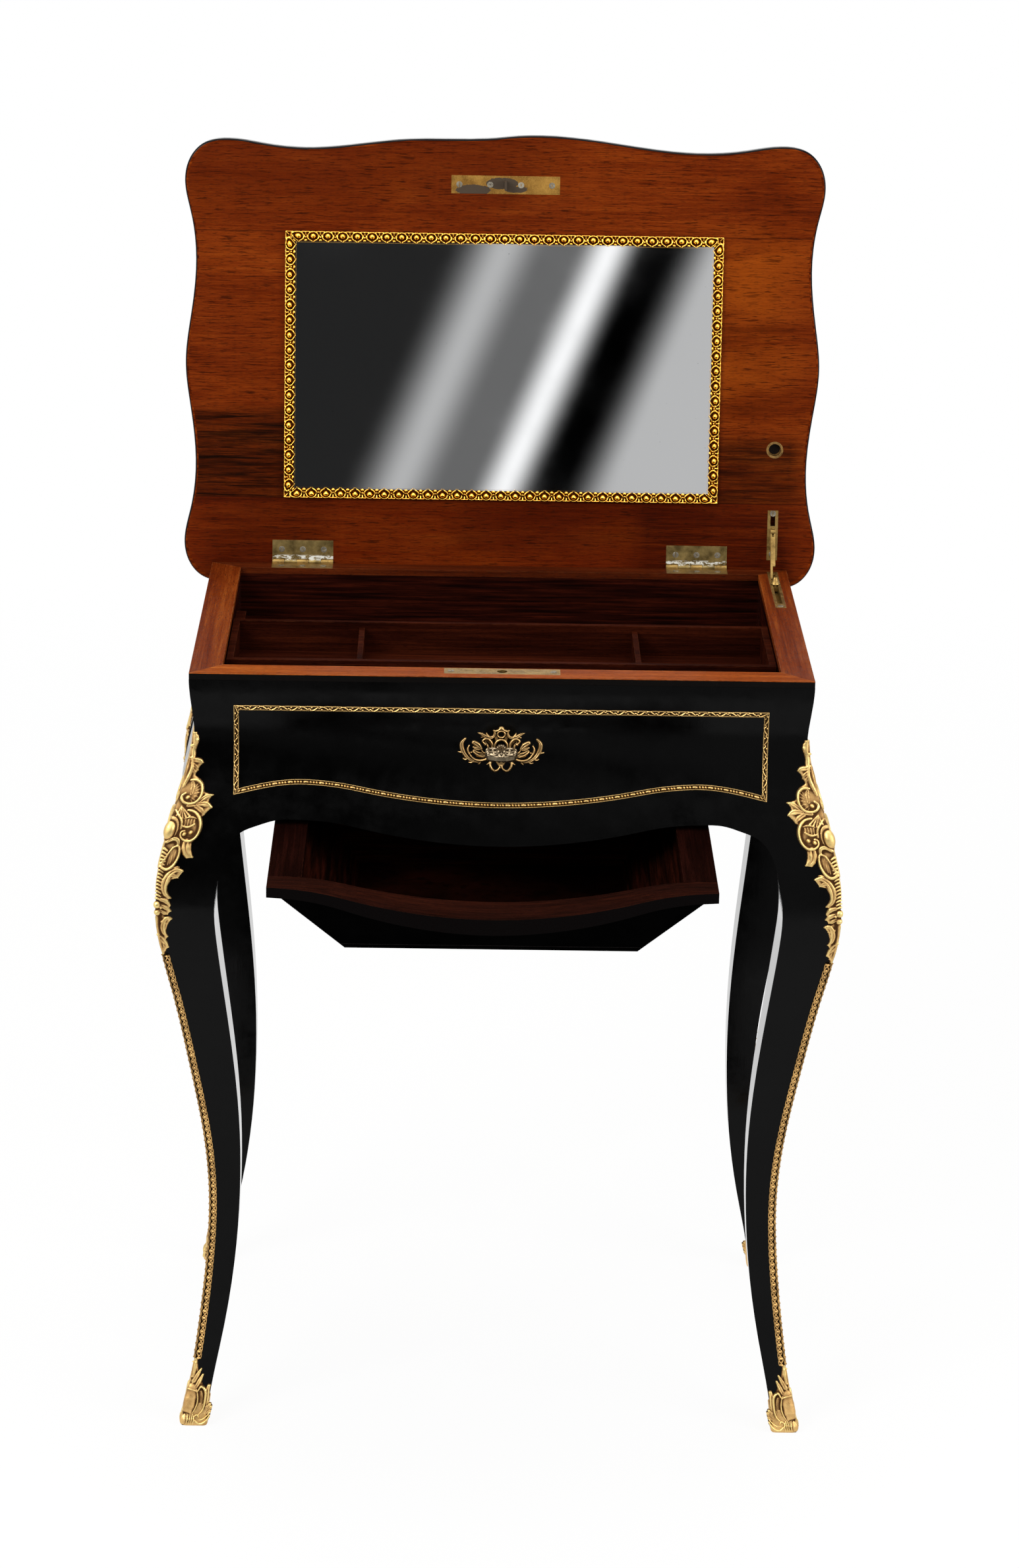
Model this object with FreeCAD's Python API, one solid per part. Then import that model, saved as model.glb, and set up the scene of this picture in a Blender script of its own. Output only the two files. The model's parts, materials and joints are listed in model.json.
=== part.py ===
import FreeCAD, Part
import math
import os

from FreeCAD import Vector

# Ebonised dressing table on cabriole legs, with a mirror inside its lid.
# Lengths are in millimetres. X runs across the width, the front faces -Y and Z is up.
# The origin lies on the floor, under the middle of the case.
# The rest pose has the lid open, the bin pulled out and the key in its lock.

# Case: overall sizes, measured at the top edge
case_width = 548.0
case_depth = 376.0
rim_top = 720.0
rim_thickness = 6.0
mitre_shift = 0.5
side_wall = 28.0
front_wall = 28.0
back_wall = 18.5
post_width = 60.0
floor_drop = 120.0
floor_thickness = 8.0

# Legs: how far the knee stands out past the top edge, and the leg's width there
knee_swell = 26.5
leg_width = 49.5

# Apron: depth of the dip in the lower edge, front and back, and at the sides
front_dip = 20.5
side_dip = 9.0

# Lid
lid_thickness = 18.0
lid_side_overhang = 27.0
lid_front_overhang = 25.9
lid_rear_reach = 25.0
lid_open_angle = 96.0
lid_gap = 1.0
lid_edge_round = 4.5
lid_back_round = 2.0
veneer_thickness = 0.8
veneer_inset = 3.0

# Hinges
hinge_length = 58.0
hinge_leaf_width = 18.0
hinge_leaf_thickness = 2.0
hinge_inset = 86.0
knuckle_radius = 2.8
hinge_pin_radius = 1.4
knuckle_count = 5
knuckle_air = 0.2
axis_setback = 3.1

# Mirror and its frame
mirror_side_margin = 94.5
mirror_head_margin = 90.0
mirror_foot = 62.0
mirror_strip_width = 10.8
mirror_strip_thickness = 5.0
glass_thickness = 3.0
glass_lap = 1.5

# Lock
lock_line = 18.5
lock_plate_length = 102.0
lock_plate_width = 17.0
lock_plate_thickness = 2.0
lock_plate_hole = 9.0
lock_case_width = 76.0
lock_case_depth = 16.0
lock_case_wall = 1.5
lock_case_height = 77.0
key_rise = 14.0
keyhole_radius = 3.2
keyhole_drop = 11.0
keyhole_slot = 3.0
bolt_travel = 9.0
bolt_radius = 2.0
bolt_drop = 12.0
bolt_length = 26.0
staple_thickness = 2.2
staple_width = 8.0
staple_drop = 16.0
key_shaft_radius = 2.2
key_bit_reach = 8.0
key_bit_thickness = 1.8
key_bit_length = 7.0
key_bow_length = 27.0
key_bow_width = 29.0
key_bow_thickness = 3.2
key_neck = 7.0

# Lid stay: slotted plate on the lid, forked arm, and slider in a channel
stay_arm_length = 46.0
stay_arm_spare = 10.0
stay_pivot_reach = stay_arm_length - stay_arm_spare
stay_pivot_drop = 4.0
stay_arm_width = 4.5
stay_arm_thickness = 3.6
stay_eye_radius = 2.8
stay_pin_radius = 1.1
stay_fit = 0.05
stay_air = 0.2
stay_lug_width = 1.9
stay_lap_length = 12.0
slider_lug_length = 18.0
stay_plate_width = 10.0
stay_plate_thickness = 1.5
bracket_foot = 8.0
bracket_tail = 12.0
bracket_length = stay_pivot_reach + bracket_tail
bracket_slot_lead = 5.0
bracket_slot_foot = stay_pivot_reach + bracket_slot_lead
bracket_slot_length = 10.0
channel_start = 10.0
channel_wall = 1.2
channel_depth = 9.0
channel_floor = 1.0
slider_height = 4.4
knob_offset = 32.0
channel_rest = 24.0
channel_end = stay_pivot_reach + stay_arm_length + knob_offset + channel_rest
knob_radius = 4.4
knob_tip_radius = 1.8
knob_height = 6.5
knob_lift = 0.4
cup_radius = 5.8
cup_wall = 1.2
cup_flange = 8.0
cup_flange_thickness = 0.8
cup_depth = 9.0

# Screws
screw_head_radius = 2.9
screw_head_thickness = 1.2
screw_shank_radius = 1.2
screw_length = 10.0
screw_slot_width = 0.8
screw_slot_depth = 0.6
screw_inset = 6.0
strike_screw_step = 29.0

# Tray that lifts out
tray_air = 1.0
tray_front_gap = 45.0
tray_length = 132.0
tray_top_drop = 8.0
tray_height = 32.0
tray_wall = 6.0
tray_bottom_thickness = 4.0
divider_thickness = 5.0
divider_drop = 5.0
left_cell = 109.5
right_cell = 113.5
ledge_width = 9.0
ledge_height = 12.0
ledge_seat = 0.2
ledge_block_height = 20.0
ledge_block_length = 70.0

# Bin that pulls out under the case
bin_centre = -7.0
bin_side_margin = 82.5
bin_back_margin = 26.0
bin_pull = 168.0
bin_further = 40.0
bin_air = 5.0
bin_rail_width = 29.0
bin_rail_thickness = 9.0
bin_lip_bulge = 17.0
bin_lip_taper = 5.0
bin_inset = 8.0
bin_splay = 57.0
bin_height = 76.5
bin_wall = 9.0
bin_bottom_thickness = 5.0
bin_glue = 0.05
runner_play = 1.5
runner_web = 8.0
runner_lip = 7.0
runner_lip_thickness = 6.0
runner_seat = 0.3
runner_start = 63.0
runner_end_gap = 4.0

# Bronze mounts
mount_thickness = 5.0
mount_width = 36.0
mount_drop = 56.0
mount_length = 199.0
strip_width = 5.0
strip_thickness = 2.6
sabot_height = 63.0
sabot_inner_height = 34.0
sabot_wall = 3.4
sabot_sole = 3.0
moulding_width = 4.7
moulding_thickness = 2.0
moulding_inset = 39.0
moulding_top_drop = 29.0
moulding_corner_drop = 109.0
moulding_hump_drop = 100.0
moulding_front_dip = 17.5
moulding_side_dip = 7.5
escutcheon_width = 75.0
escutcheon_below = 22.0
escutcheon_above = 19.0
escutcheon_thickness = 2.5

# One overrun for every cut, and one far reach for every extrusion
overrun = 5.0
far = 900.0

# Shape of the legs and the case side, from the floor up.
# Each row has the height as a share of rim_top, the swell as a share of knee_swell
# and, for the legs, the width as a share of leg_width.
leg_shares = [
    (0.0, 0.34, 0.424),
    (0.065, -0.04, 0.376),
    (0.125, -0.283, 0.424),
    (0.229, -0.585, 0.485),
    (0.301, -0.66, 0.517),
    (0.389, -0.49, 0.618),
    (0.4875, -0.057, 0.76),
    (0.597, 0.51, 0.887),
    (0.667, 0.906, 0.986),
    (0.708, 1.0, 1.0),
]
case_shares = [
    (0.771, 0.83),
    (0.833, 0.377),
    (0.889, -0.075),
    (0.919, -0.17),
    (0.958, -0.075),
    (1.0, 0.0),
]
# Arch from the leg into the apron: inset from the case edge as a share of post_width,
# and height as a share of rim_top. The last row is the hump.
arch_shares = [
    (0.467, 0.7597),
    (0.567, 0.7847),
    (0.767, 0.8042),
    (1.007, 0.8125),
    (1.275, 0.819),
    (1.6, 0.8201),
]
# Apron between the humps: distance from the middle as a share of the hump's, and drop
# as a share of the dip
dip_shares = [(0.893, 0.04), (0.77, 0.18), (0.646, 0.405), (0.34, 0.83), (0.0, 1.0)]

# Lid edge, one quarter: across as a share of lid_half_width, along as a share of the
# half length
lid_shares = [
    (0.0, 1.0),
    (0.316, 0.984),
    (0.608, 0.942),
    (0.748, 0.956),
    (0.87, 0.977),
    (0.947, 0.951),
    (0.987, 0.884),
    (1.0, 0.79),
    (0.981, 0.651),
    (0.965, 0.451),
    (0.98, 0.214),
    (0.997, 0.0),
]

# Knee mount: height as a share from tip to top, and width on a face as a share of
# mount_width
mount_shares = [
    (0.0, 0.04),
    (0.06, 0.2),
    (0.1, 0.34),
    (0.17, 0.3),
    (0.2, 0.46),
    (0.29, 0.4),
    (0.38, 0.56),
    (0.42, 0.42),
    (0.5, 0.5),
    (0.56, 0.78),
    (0.64, 0.94),
    (0.72, 1.0),
    (0.78, 0.8),
    (0.82, 0.62),
    (0.88, 0.6),
    (0.93, 0.34),
    (0.97, 0.3),
    (1.0, 0.12),
]
# Escutcheon: half outline, across as a share of the half width, up as a share of the
# height
escutcheon_shares = [
    (0.0, 0.0),
    (0.3, 0.05),
    (0.42, 0.26),
    (0.72, 0.3),
    (1.0, 0.52),
    (0.8, 0.72),
    (0.56, 0.66),
    (0.42, 0.86),
    (0.16, 0.9),
    (0.0, 1.0),
]
# Key bow: half outline, across as a share of the half width, out as a share of its length
bow_shares = [(0.25, 0.0), (0.7, 0.18), (1.0, 0.5), (0.8, 0.85), (0.3, 1.0)]

# Values that follow from the sizes above
half_width = case_width / 2
half_depth = case_depth / 2
inner_side = half_width - side_wall
inner_front = front_wall - half_depth
inner_back = half_depth - back_wall
board_top = rim_top - rim_thickness
floor_underside = rim_top - floor_drop
floor_top = floor_underside + floor_thickness
joint_side = half_width - post_width
joint_depth = half_depth - post_width
hump_height = arch_shares[-1][1] * rim_top
axis_y = half_depth + axis_setback
axis_z = rim_top + lid_gap / 2
axis_point = Vector(0, axis_y, axis_z)
stay_side = half_width - side_wall / 2
lid_half_width = half_width + lid_side_overhang
lid_front_reach = case_depth + axis_setback + lid_front_overhang
hinge_place = half_width - hinge_inset
mirror_width = 2 * (lid_half_width - mirror_side_margin)
mirror_height = lid_front_reach - mirror_foot - mirror_head_margin
lock_case_foot = rim_top - lock_plate_thickness - lock_case_height
key_height = lock_case_foot + key_rise
bolt_height = rim_top - bolt_drop
mount_top = rim_top - mount_drop
mount_tip = mount_top - mount_length
escutcheon_foot = key_height - escutcheon_below
escutcheon_top = key_height + escutcheon_above
bin_half_width = half_width - bin_side_margin
bin_length = case_depth - bin_back_margin


def box(x, y, z):
    """Box between pairs of low and high values."""
    size = (x[1] - x[0], y[1] - y[0], z[1] - z[0])
    return Part.makeBox(*size, Vector(x[0], y[0], z[0]))


def cylinder(start, axis, radius, length):
    """Round bar from a start point along an axis."""
    return Part.makeCylinder(radius, length, start, axis)


def line(a, b):
    """Straight edge."""
    return Part.LineSegment(a, b).toShape()


def smooth(points):
    """Smooth open edge through the points."""
    spline = Part.BSplineCurve()
    spline.interpolate(points)
    return spline.toShape()


def polygon(points):
    """Flat face with straight edges."""
    return Part.Face(Part.makePolygon(points + [points[0]]))


def fuse(shapes):
    """One solid out of several that touch or overlap."""
    joined = shapes[0].multiFuse(shapes[1:]).removeSplitter()
    return joined.Solids[0] if len(joined.Solids) == 1 else joined


def cut_all(shape, tools):
    """Cut, one by one, every tool whose box meets the shape's box."""
    for tool in tools:
        if tool.BoundBox.intersect(shape.BoundBox):
            shape = shape.cut(tool)
    return shape


def mirror_x(shape):
    """The same shape on the other side of the width."""
    return shape.mirror(Vector(0, 0, 0), Vector(1, 0, 0))


def mirror_y(shape):
    """The same shape on the other side of the depth."""
    return shape.mirror(Vector(0, 0, 0), Vector(0, 1, 0))


def group(shapes):
    """Several solids kept apart in one node."""
    return Part.makeCompound([solid for shape in shapes for solid in shape.Solids])


def front_place(across, up):
    """Point of the outline seen from the front."""
    return Vector(across, -far, up)


def side_place(across, up):
    """Point of the outline seen from the side."""
    return Vector(-far, across, up)


# Each view has its half size, its way to place a point, and the direction to look along
views = {
    "front": (half_width, front_place, Vector(0, 2 * far, 0)),
    "side": (half_depth, side_place, Vector(2 * far, 0, 0)),
}


def outer_points(half, grow):
    """Outside of a leg and the case above it, from the floor up."""
    rows = [(row[0], row[1]) for row in leg_shares] + case_shares
    return [(half + swell * knee_swell + grow, height * rim_top) for height, swell in rows]


def inner_leg_points(half, grow):
    """Inside of a leg, from the floor to the knee."""
    return [
        (half + swell * knee_swell - width * leg_width - grow, height * rim_top)
        for height, swell, width in leg_shares
    ]


def apron_points(half, dip):
    """Arch and lower edge of the apron, from the knee to the middle."""
    arch = [(half - inset * post_width, height * rim_top) for inset, height in arch_shares]
    hump = arch[-1][0]
    waves = [(hump * across, hump_height - dip * drop) for across, drop in dip_shares]
    return arch + waves


def extrude_outline(edges, view):
    """Solid from a closed outline, made deep along the view."""
    wire = Part.Wire(Part.__sortEdges__(edges))
    return Part.Face(wire).extrude(views[view][2])


def carcase(view, dip):
    """Two legs and the case between them, as seen from one side, made deep."""
    half, place = views[view][:2]
    outer = outer_points(half, 0)
    inner = inner_leg_points(half, 0) + apron_points(half, dip)
    whole = inner + [(-across, up) for across, up in reversed(inner[:-1])]
    right = [place(*point) for point in outer]
    left = [place(-across, up) for across, up in outer]
    under = [place(*point) for point in whole]
    edges = [
        smooth(right),
        line(right[-1], left[-1]),
        smooth(left),
        line(left[0], under[-1]),
        smooth(under),
        line(under[0], right[0]),
    ]
    return extrude_outline(edges, view)


def leg_band(view, grow):
    """The leg on the positive side, grown outwards, as seen from one side, made deep."""
    half, place = views[view][:2]
    outer = outer_points(half, grow)[: len(leg_shares)]
    inner = inner_leg_points(half, grow)
    right = [place(*point) for point in outer]
    under = [place(*point) for point in inner]
    edges = [smooth(right), line(right[-1], under[-1]), smooth(under), line(under[0], right[0])]
    return extrude_outline(edges, view)


def skin(view, thickness):
    """Thin band on the outside of the case and leg, on the positive side."""
    half, place = views[view][:2]
    near = [place(*point) for point in outer_points(half, 0)]
    away = [place(*point) for point in outer_points(half, thickness)]
    edges = [smooth(near), line(near[-1], away[-1]), smooth(away), line(away[0], near[0])]
    return extrude_outline(edges, view)


profile = Part.BSplineCurve()
profile.interpolate([Vector(x, 0, z) for x, z in outer_points(0, 0)])


def swell_at(height):
    """How far the outside stands past the top edge at a height."""
    low, high = profile.FirstParameter, profile.LastParameter
    for step in range(50):
        middle = (low + high) / 2
        if profile.value(middle).z < height:
            low = middle
        else:
            high = middle
    return profile.value(low).x


front_block = carcase("front", front_dip)
side_block = carcase("side", side_dip)
cavity = box((-inner_side, inner_side), (inner_front, inner_back), (floor_underside, far))
body = front_block.common(side_block).cut(cavity)
below_rim = box((-far, far), (-far, far), (sabot_sole, board_top))
frame_body = body.common(below_rim)

nodes = {}


def make_legs():
    """Four legs, each with the corner post above it."""
    for end, ys in (("front", (-far, -joint_depth)), ("back", (joint_depth, far))):
        for side, xs in (("left", (-far, -joint_side)), ("right", (joint_side, far))):
            nodes["leg_%s_%s" % (end, side)] = frame_body.common(box(xs, ys, (0, far)))


def make_walls():
    """Boards between the posts. Each one carries the apron under it."""
    high = (0, far)
    across = (-joint_side, joint_side)
    along = (-joint_depth, joint_depth)
    nodes["case_front"] = frame_body.common(box(across, (-far, inner_front), high))
    nodes["case_back"] = frame_body.common(box(across, (inner_back, far), high))
    nodes["case_side_left"] = frame_body.common(box((-far, -inner_side), along, high))
    nodes["case_side_right"] = frame_body.common(box((inner_side, far), along, high))


def mitre(points):
    """Slab of the rim's thickness over a plan outline."""
    face = polygon([Vector(x, y, board_top) for x, y in points])
    return face.extrude(Vector(0, 0, rim_thickness))


def make_rim():
    """Mahogany lipping on top of the walls, mitred at the corners."""
    across = (-half_width, half_width)
    slab = box(across, (-half_depth, half_depth), (board_top, rim_top))
    # A mitre runs from the inner corner and leaves the case a little beside its corner
    reach = case_width / side_wall
    wide = inner_side + reach * side_wall
    front_y = inner_front - reach * (front_wall - mitre_shift)
    back_y = inner_back + reach * (back_wall - mitre_shift)
    fl = (-wide, front_y)
    fr = (wide, front_y)
    bl = (-wide, back_y)
    br = (wide, back_y)
    inner_fl = (-inner_side, inner_front)
    inner_fr = (inner_side, inner_front)
    inner_bl = (-inner_side, inner_back)
    inner_br = (inner_side, inner_back)
    wedges = {
        "rim_front": [fl, fr, inner_fr, inner_fl],
        "rim_back": [bl, inner_bl, inner_br, br],
        "rim_left": [fl, inner_fl, inner_bl, bl],
        "rim_right": [fr, br, inner_br, inner_fr],
    }
    for name, points in wedges.items():
        nodes[name] = slab.common(mitre(points))


def make_floor():
    """Board under the whole case, inside the walls."""
    nodes["case_floor"] = box(
        (-inner_side, inner_side), (inner_front, inner_back), (floor_underside, floor_top)
    )


# The lid is built closed, then swung open about the hinge axis
def lid_point(u, v, w):
    """Place in the closed lid: across, from the axis to the front, and into its thickness."""
    return Vector(u, axis_y - v, axis_z + lid_gap / 2 + w)


def lid_box(u, v, w):
    """Box in the closed lid between pairs of low and high values."""
    low = lid_point(u[0], v[1], w[0])
    return Part.makeBox(u[1] - u[0], v[1] - v[0], w[1] - w[0], low)


def swing_open(shape):
    """The shape turned from the closed lid's place to the open one's."""
    turned = shape.copy()
    turned.rotate(axis_point, Vector(1, 0, 0), -lid_open_angle)
    return turned


lid_middle = (lid_front_reach - lid_rear_reach) / 2
lid_half_length = (lid_front_reach + lid_rear_reach) / 2
lid_edge_pieces = 22


def lid_outline(inset, w):
    """Serpentine edge of the lid, drawn in by an inset."""
    wide = lid_half_width - inset
    long = lid_half_length - inset
    quarter = [(across * wide, along * long) for across, along in lid_shares]
    half = quarter + [(x, -y) for x, y in reversed(quarter[:-1])]
    ring = half + [(-x, y) for x, y in reversed(half[1:-1])]
    spline = Part.BSplineCurve()
    points = [lid_point(x, lid_middle + y, w) for x, y in ring]
    spline.interpolate(Points=points, PeriodicFlag=True)
    start = spline.FirstParameter
    step = (spline.LastParameter - start) / lid_edge_pieces
    stops = [start + i * step for i in range(lid_edge_pieces + 1)]
    pieces = [spline.toShape(a, b) for a, b in zip(stops, stops[1:])]
    return Part.Face(Part.Wire(pieces))


def mirror_corners(inset):
    """Corners of the mirror's frame, drawn in by an inset."""
    half = mirror_width / 2 - inset
    low = mirror_foot + inset
    high = mirror_foot + mirror_height - inset
    return [(-half, low), (half, low), (half, high), (-half, high)]


def make_mirror():
    """Glass laid on the lid, and four mitred strips that lap over its edge."""
    glass_inset = mirror_strip_width - glass_lap
    low, high = mirror_corners(glass_inset)[0], mirror_corners(glass_inset)[2]
    glass = lid_box((low[0], high[0]), (low[1], high[1]), (-glass_thickness, 0))
    nodes["mirror_glass"] = swing_open(glass)
    outer = mirror_corners(0)
    inner = mirror_corners(mirror_strip_width)
    strips = []
    for i in range(4):
        j = (i + 1) % 4
        corners = [outer[i], outer[j], inner[j], inner[i]]
        face = polygon([lid_point(u, v, -mirror_strip_thickness) for u, v in corners])
        strips.append(face.extrude(Vector(0, 0, mirror_strip_thickness)).cut(glass))
    nodes["mirror_frame"] = swing_open(group(strips))


strike_v = axis_y + half_depth - lock_line
lock_y = lock_line - half_depth


def plate_screws(places, sense):
    """Slotted screws from each place, up into the lid or down into the case."""
    screws = []
    for place in places:
        head = cylinder(place, Vector(0, 0, sense), screw_head_radius, screw_head_thickness)
        shank = cylinder(place, Vector(0, 0, sense), screw_shank_radius, screw_length)
        half = screw_slot_width / 2
        depths = sorted((place.z, place.z + sense * screw_slot_depth))
        ys = (place.y - screw_head_radius, place.y + screw_head_radius)
        slot = box((place.x - half, place.x + half), ys, depths)
        screws.append(fuse([head, shank]).cut(slot))
    return screws


hinge_sides = (-hinge_place, hinge_place)
leaf_middle = (knuckle_radius + hinge_leaf_width) / 2


def hinge_screw_places(closed_lid):
    """Screws of both hinges, in the lid or in the case."""
    places = []
    for side in hinge_sides:
        for step in (-1, 0, 1):
            u = side + step * (hinge_length / 2 - 1.5 * screw_inset)
            if closed_lid:
                places.append(lid_point(u, leaf_middle + axis_setback / 2, 0))
            else:
                places.append(Vector(u, axis_y - leaf_middle - axis_setback / 2, rim_top))
    return places


strike_half = lock_plate_length / 2
bracket_screw_vs = (bracket_foot + screw_inset, bracket_foot + bracket_length - screw_inset / 2)


def lid_screw_places():
    """Screws of the hinges, the strike plate and the stay's bracket."""
    places = hinge_screw_places(True)
    for step in (-1.5, -0.5, 0.5, 1.5):
        places.append(lid_point(step * strike_screw_step, strike_v, 0))
    places += [lid_point(stay_side, bracket_screw_vs[0], 0)]
    places += [lid_point(stay_side, bracket_screw_vs[1], 0)]
    return places


channel_ys = (axis_y - channel_end, axis_y - channel_start)


def case_screw_places():
    """Screws of the hinges, the lock and the stay's channel."""
    places = hinge_screw_places(False)
    lock_end = strike_half - screw_inset
    places += [Vector(-lock_end, lock_y, rim_top), Vector(lock_end, lock_y, rim_top)]
    places += [Vector(stay_side, channel_ys[0] + screw_inset, rim_top)]
    return places


lid_screws = plate_screws(lid_screw_places(), 1)
case_screws = plate_screws(case_screw_places(), -1)


def knuckle_ranges(side):
    """Start and end of each knuckle of one hinge."""
    step = hinge_length / knuckle_count
    start = side - hinge_length / 2
    return [(start + i * step, start + (i + 1) * step) for i in range(knuckle_count)]


def knuckle(span, radius):
    """Round bar about the hinge axis."""
    return cylinder(Vector(span[0], axis_y, axis_z), Vector(1, 0, 0), radius, span[1] - span[0])


def knuckle_room(side, reach):
    """Groove for a hinge's knuckles, coaxial with the pin."""
    span = (side - hinge_length / 2 - knuckle_air, side + hinge_length / 2 + knuckle_air)
    return knuckle(span, reach)


def hinge_leaf(side, on_lid):
    """One leaf with its own knuckles, bored for the pin."""
    edges = (side - hinge_length / 2, side + hinge_length / 2)
    vs = (0, knuckle_radius + hinge_leaf_width)
    if on_lid:
        plate = lid_box(edges, vs, (0, hinge_leaf_thickness))
        tail = lid_box(edges, (0, knuckle_radius), (-lid_gap / 2, hinge_leaf_thickness))
    else:
        ys = (axis_y - vs[1], axis_y)
        plate = box(edges, ys, (rim_top - hinge_leaf_thickness, rim_top))
        tail_ys = (axis_y - knuckle_radius, axis_y)
        tail = box(edges, tail_ys, (rim_top - hinge_leaf_thickness, axis_z))
    mine = [k for i, k in enumerate(knuckle_ranges(side)) if (i % 2 == 1) == on_lid]
    others = [k for i, k in enumerate(knuckle_ranges(side)) if (i % 2 == 1) != on_lid]
    # Each leaf is notched round the other leaf's knuckles
    solid = fuse([plate, tail] + [knuckle(span, knuckle_radius) for span in mine])
    for span in others:
        wide = (span[0] - knuckle_air, span[1] + knuckle_air)
        solid = solid.cut(knuckle(wide, knuckle_radius + knuckle_air))
    return solid.cut(knuckle_room(side, hinge_pin_radius + stay_fit))


def make_hinges():
    """Two hinges, each with a leaf on the lid, a leaf on the case and a pin."""
    lid_leaves = [hinge_leaf(side, True) for side in hinge_sides]
    case_leaves = [hinge_leaf(side, False) for side in hinge_sides]
    pins = [
        knuckle((side - hinge_length / 2, side + hinge_length / 2), hinge_pin_radius)
        for side in hinge_sides
    ]
    lid_leaves = [cut_all(leaf, lid_screws) for leaf in lid_leaves]
    case_leaves = [cut_all(leaf, case_screws) for leaf in case_leaves]
    nodes["hinge_lid_leaves"] = swing_open(group(lid_leaves))
    nodes["hinge_case_leaves"] = group(case_leaves)
    nodes["hinge_pins"] = swing_open(group(pins))


# Lid stay. Distances along s run from the hinge axis to the front.
slider_closed = stay_pivot_reach + stay_arm_length
open_angle = math.radians(lid_open_angle)
pivot_open = (
    stay_pivot_reach * math.cos(open_angle) + stay_pivot_drop * math.sin(open_angle),
    stay_pivot_reach * math.sin(open_angle) - stay_pivot_drop * math.cos(open_angle),
)
arm_fall = pivot_open[1] + stay_pivot_drop
slider_open = pivot_open[0] + math.sqrt(stay_arm_length**2 - arm_fall**2)
arm_angle_open = -math.degrees(math.asin(arm_fall / stay_arm_length))
arm_swing = lid_open_angle - arm_angle_open
slider_travel = slider_closed - slider_open
stay_height = axis_z - stay_pivot_drop
cup_v = slider_closed + knob_offset


def stay_bar(start, end, xs, half_height):
    """Flat bar with round ends between two points of the stay's plane."""
    along = end - start
    length = along.Length
    bar = Part.makeBox(
        xs[1] - xs[0], length, 2 * half_height, Vector(xs[0], start.y, start.z - half_height)
    )
    angle = math.degrees(math.atan2(along.z, along.y))
    bar.rotate(start, Vector(1, 0, 0), angle)
    ends = [
        cylinder(Vector(xs[0], point.y, point.z), Vector(1, 0, 0), half_height, xs[1] - xs[0])
        for point in (start, end)
    ]
    return fuse([bar] + ends)


def make_arm():
    """Arm of the stay, from the bracket's pin to the slider's lug."""
    x = Vector(1, 0, 0)
    pivot = Vector(0, axis_y - pivot_open[0], axis_z + pivot_open[1])
    foot = Vector(0, axis_y - slider_open, stay_height)
    half_arm = stay_arm_width / 2
    wide = (stay_side - half_arm, stay_side + half_arm)
    arm = stay_bar(pivot, foot, wide, stay_arm_thickness / 2)
    eye = cylinder(Vector(wide[0], pivot.y, pivot.z), x, stay_eye_radius, stay_arm_width)
    arm = fuse([arm, eye])
    # Fork over the bracket's lug, and a half lap beside the slider's lug
    lug = stay_lug_width / 2 + stay_air
    slot = cylinder(
        Vector(stay_side - lug, pivot.y, pivot.z), x, 2 * stay_eye_radius, 2 * lug
    )
    bore = cylinder(
        Vector(wide[0] - overrun, pivot.y, pivot.z),
        x,
        stay_pin_radius + stay_fit,
        stay_arm_width + 2 * overrun,
    )
    lap = cylinder(
        Vector(stay_side - stay_air, foot.y, foot.z), x, stay_lap_length, half_arm + overrun
    )
    nodes["stay_arm"] = cut_all(arm, [slot, bore, lap])


def make_slider():
    """Lug for the arm, block in the channel and cone knob above the plate."""
    x = Vector(1, 0, 0)
    half_arm = stay_arm_width / 2
    foot_y = axis_y - slider_open
    knob_y = foot_y - knob_offset
    lug_xs = (stay_side + stay_air, stay_side + half_arm)
    top = rim_top - stay_plate_thickness
    low = top - slider_height
    eye = cylinder(
        Vector(lug_xs[0], foot_y, stay_height), x, stay_arm_thickness / 2, lug_xs[1] - lug_xs[0]
    )
    lug = box(
        lug_xs,
        (foot_y - slider_lug_length - stay_air, foot_y),
        (stay_height - stay_arm_thickness / 2, stay_height + stay_arm_thickness / 2),
    )
    block = box(
        (stay_side - half_arm, stay_side + half_arm),
        (knob_y - knob_radius, foot_y - slider_lug_length),
        (low, top),
    )
    knob_base = rim_top + knob_lift
    neck = cylinder(
        Vector(stay_side, knob_y, low), Vector(0, 0, 1), half_arm, knob_base - low
    )
    cone = Part.makeCone(
        knob_radius, knob_tip_radius, knob_height, Vector(stay_side, knob_y, knob_base)
    )
    nodes["stay_slider"] = fuse([eye, lug, block, neck, cone])


def make_bracket():
    """Slotted plate let into the lid, with the lug and pin of the arm's upper pivot."""
    x = Vector(1, 0, 0)
    half = stay_plate_width / 2
    plate = lid_box(
        (stay_side - half, stay_side + half),
        (bracket_foot, bracket_foot + bracket_length),
        (0, stay_plate_thickness),
    )
    plate = plate.cut(bracket_slot(stay_plate_thickness))
    pivot_point = Vector(0, axis_y - stay_pivot_reach, axis_z - stay_pivot_drop)
    lug_xs = (stay_side - stay_lug_width / 2, stay_side + stay_lug_width / 2)
    lug_radius = stay_eye_radius - stay_air
    lug_eye = cylinder(
        Vector(lug_xs[0], pivot_point.y, pivot_point.z), x, lug_radius, stay_lug_width
    )
    lug_top = lid_point(0, 0, 0).z
    lug_post = box(
        lug_xs,
        (pivot_point.y - lug_radius, pivot_point.y + lug_radius),
        (pivot_point.z, lug_top + stay_plate_thickness),
    )
    pin = cylinder(
        Vector(stay_side - stay_arm_width / 2, pivot_point.y, pivot_point.z),
        x,
        stay_pin_radius,
        stay_arm_width,
    )
    bracket = fuse([plate, lug_eye, lug_post, pin])
    nodes["stay_bracket"] = swing_open(cut_all(bracket, lid_screws))


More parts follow.
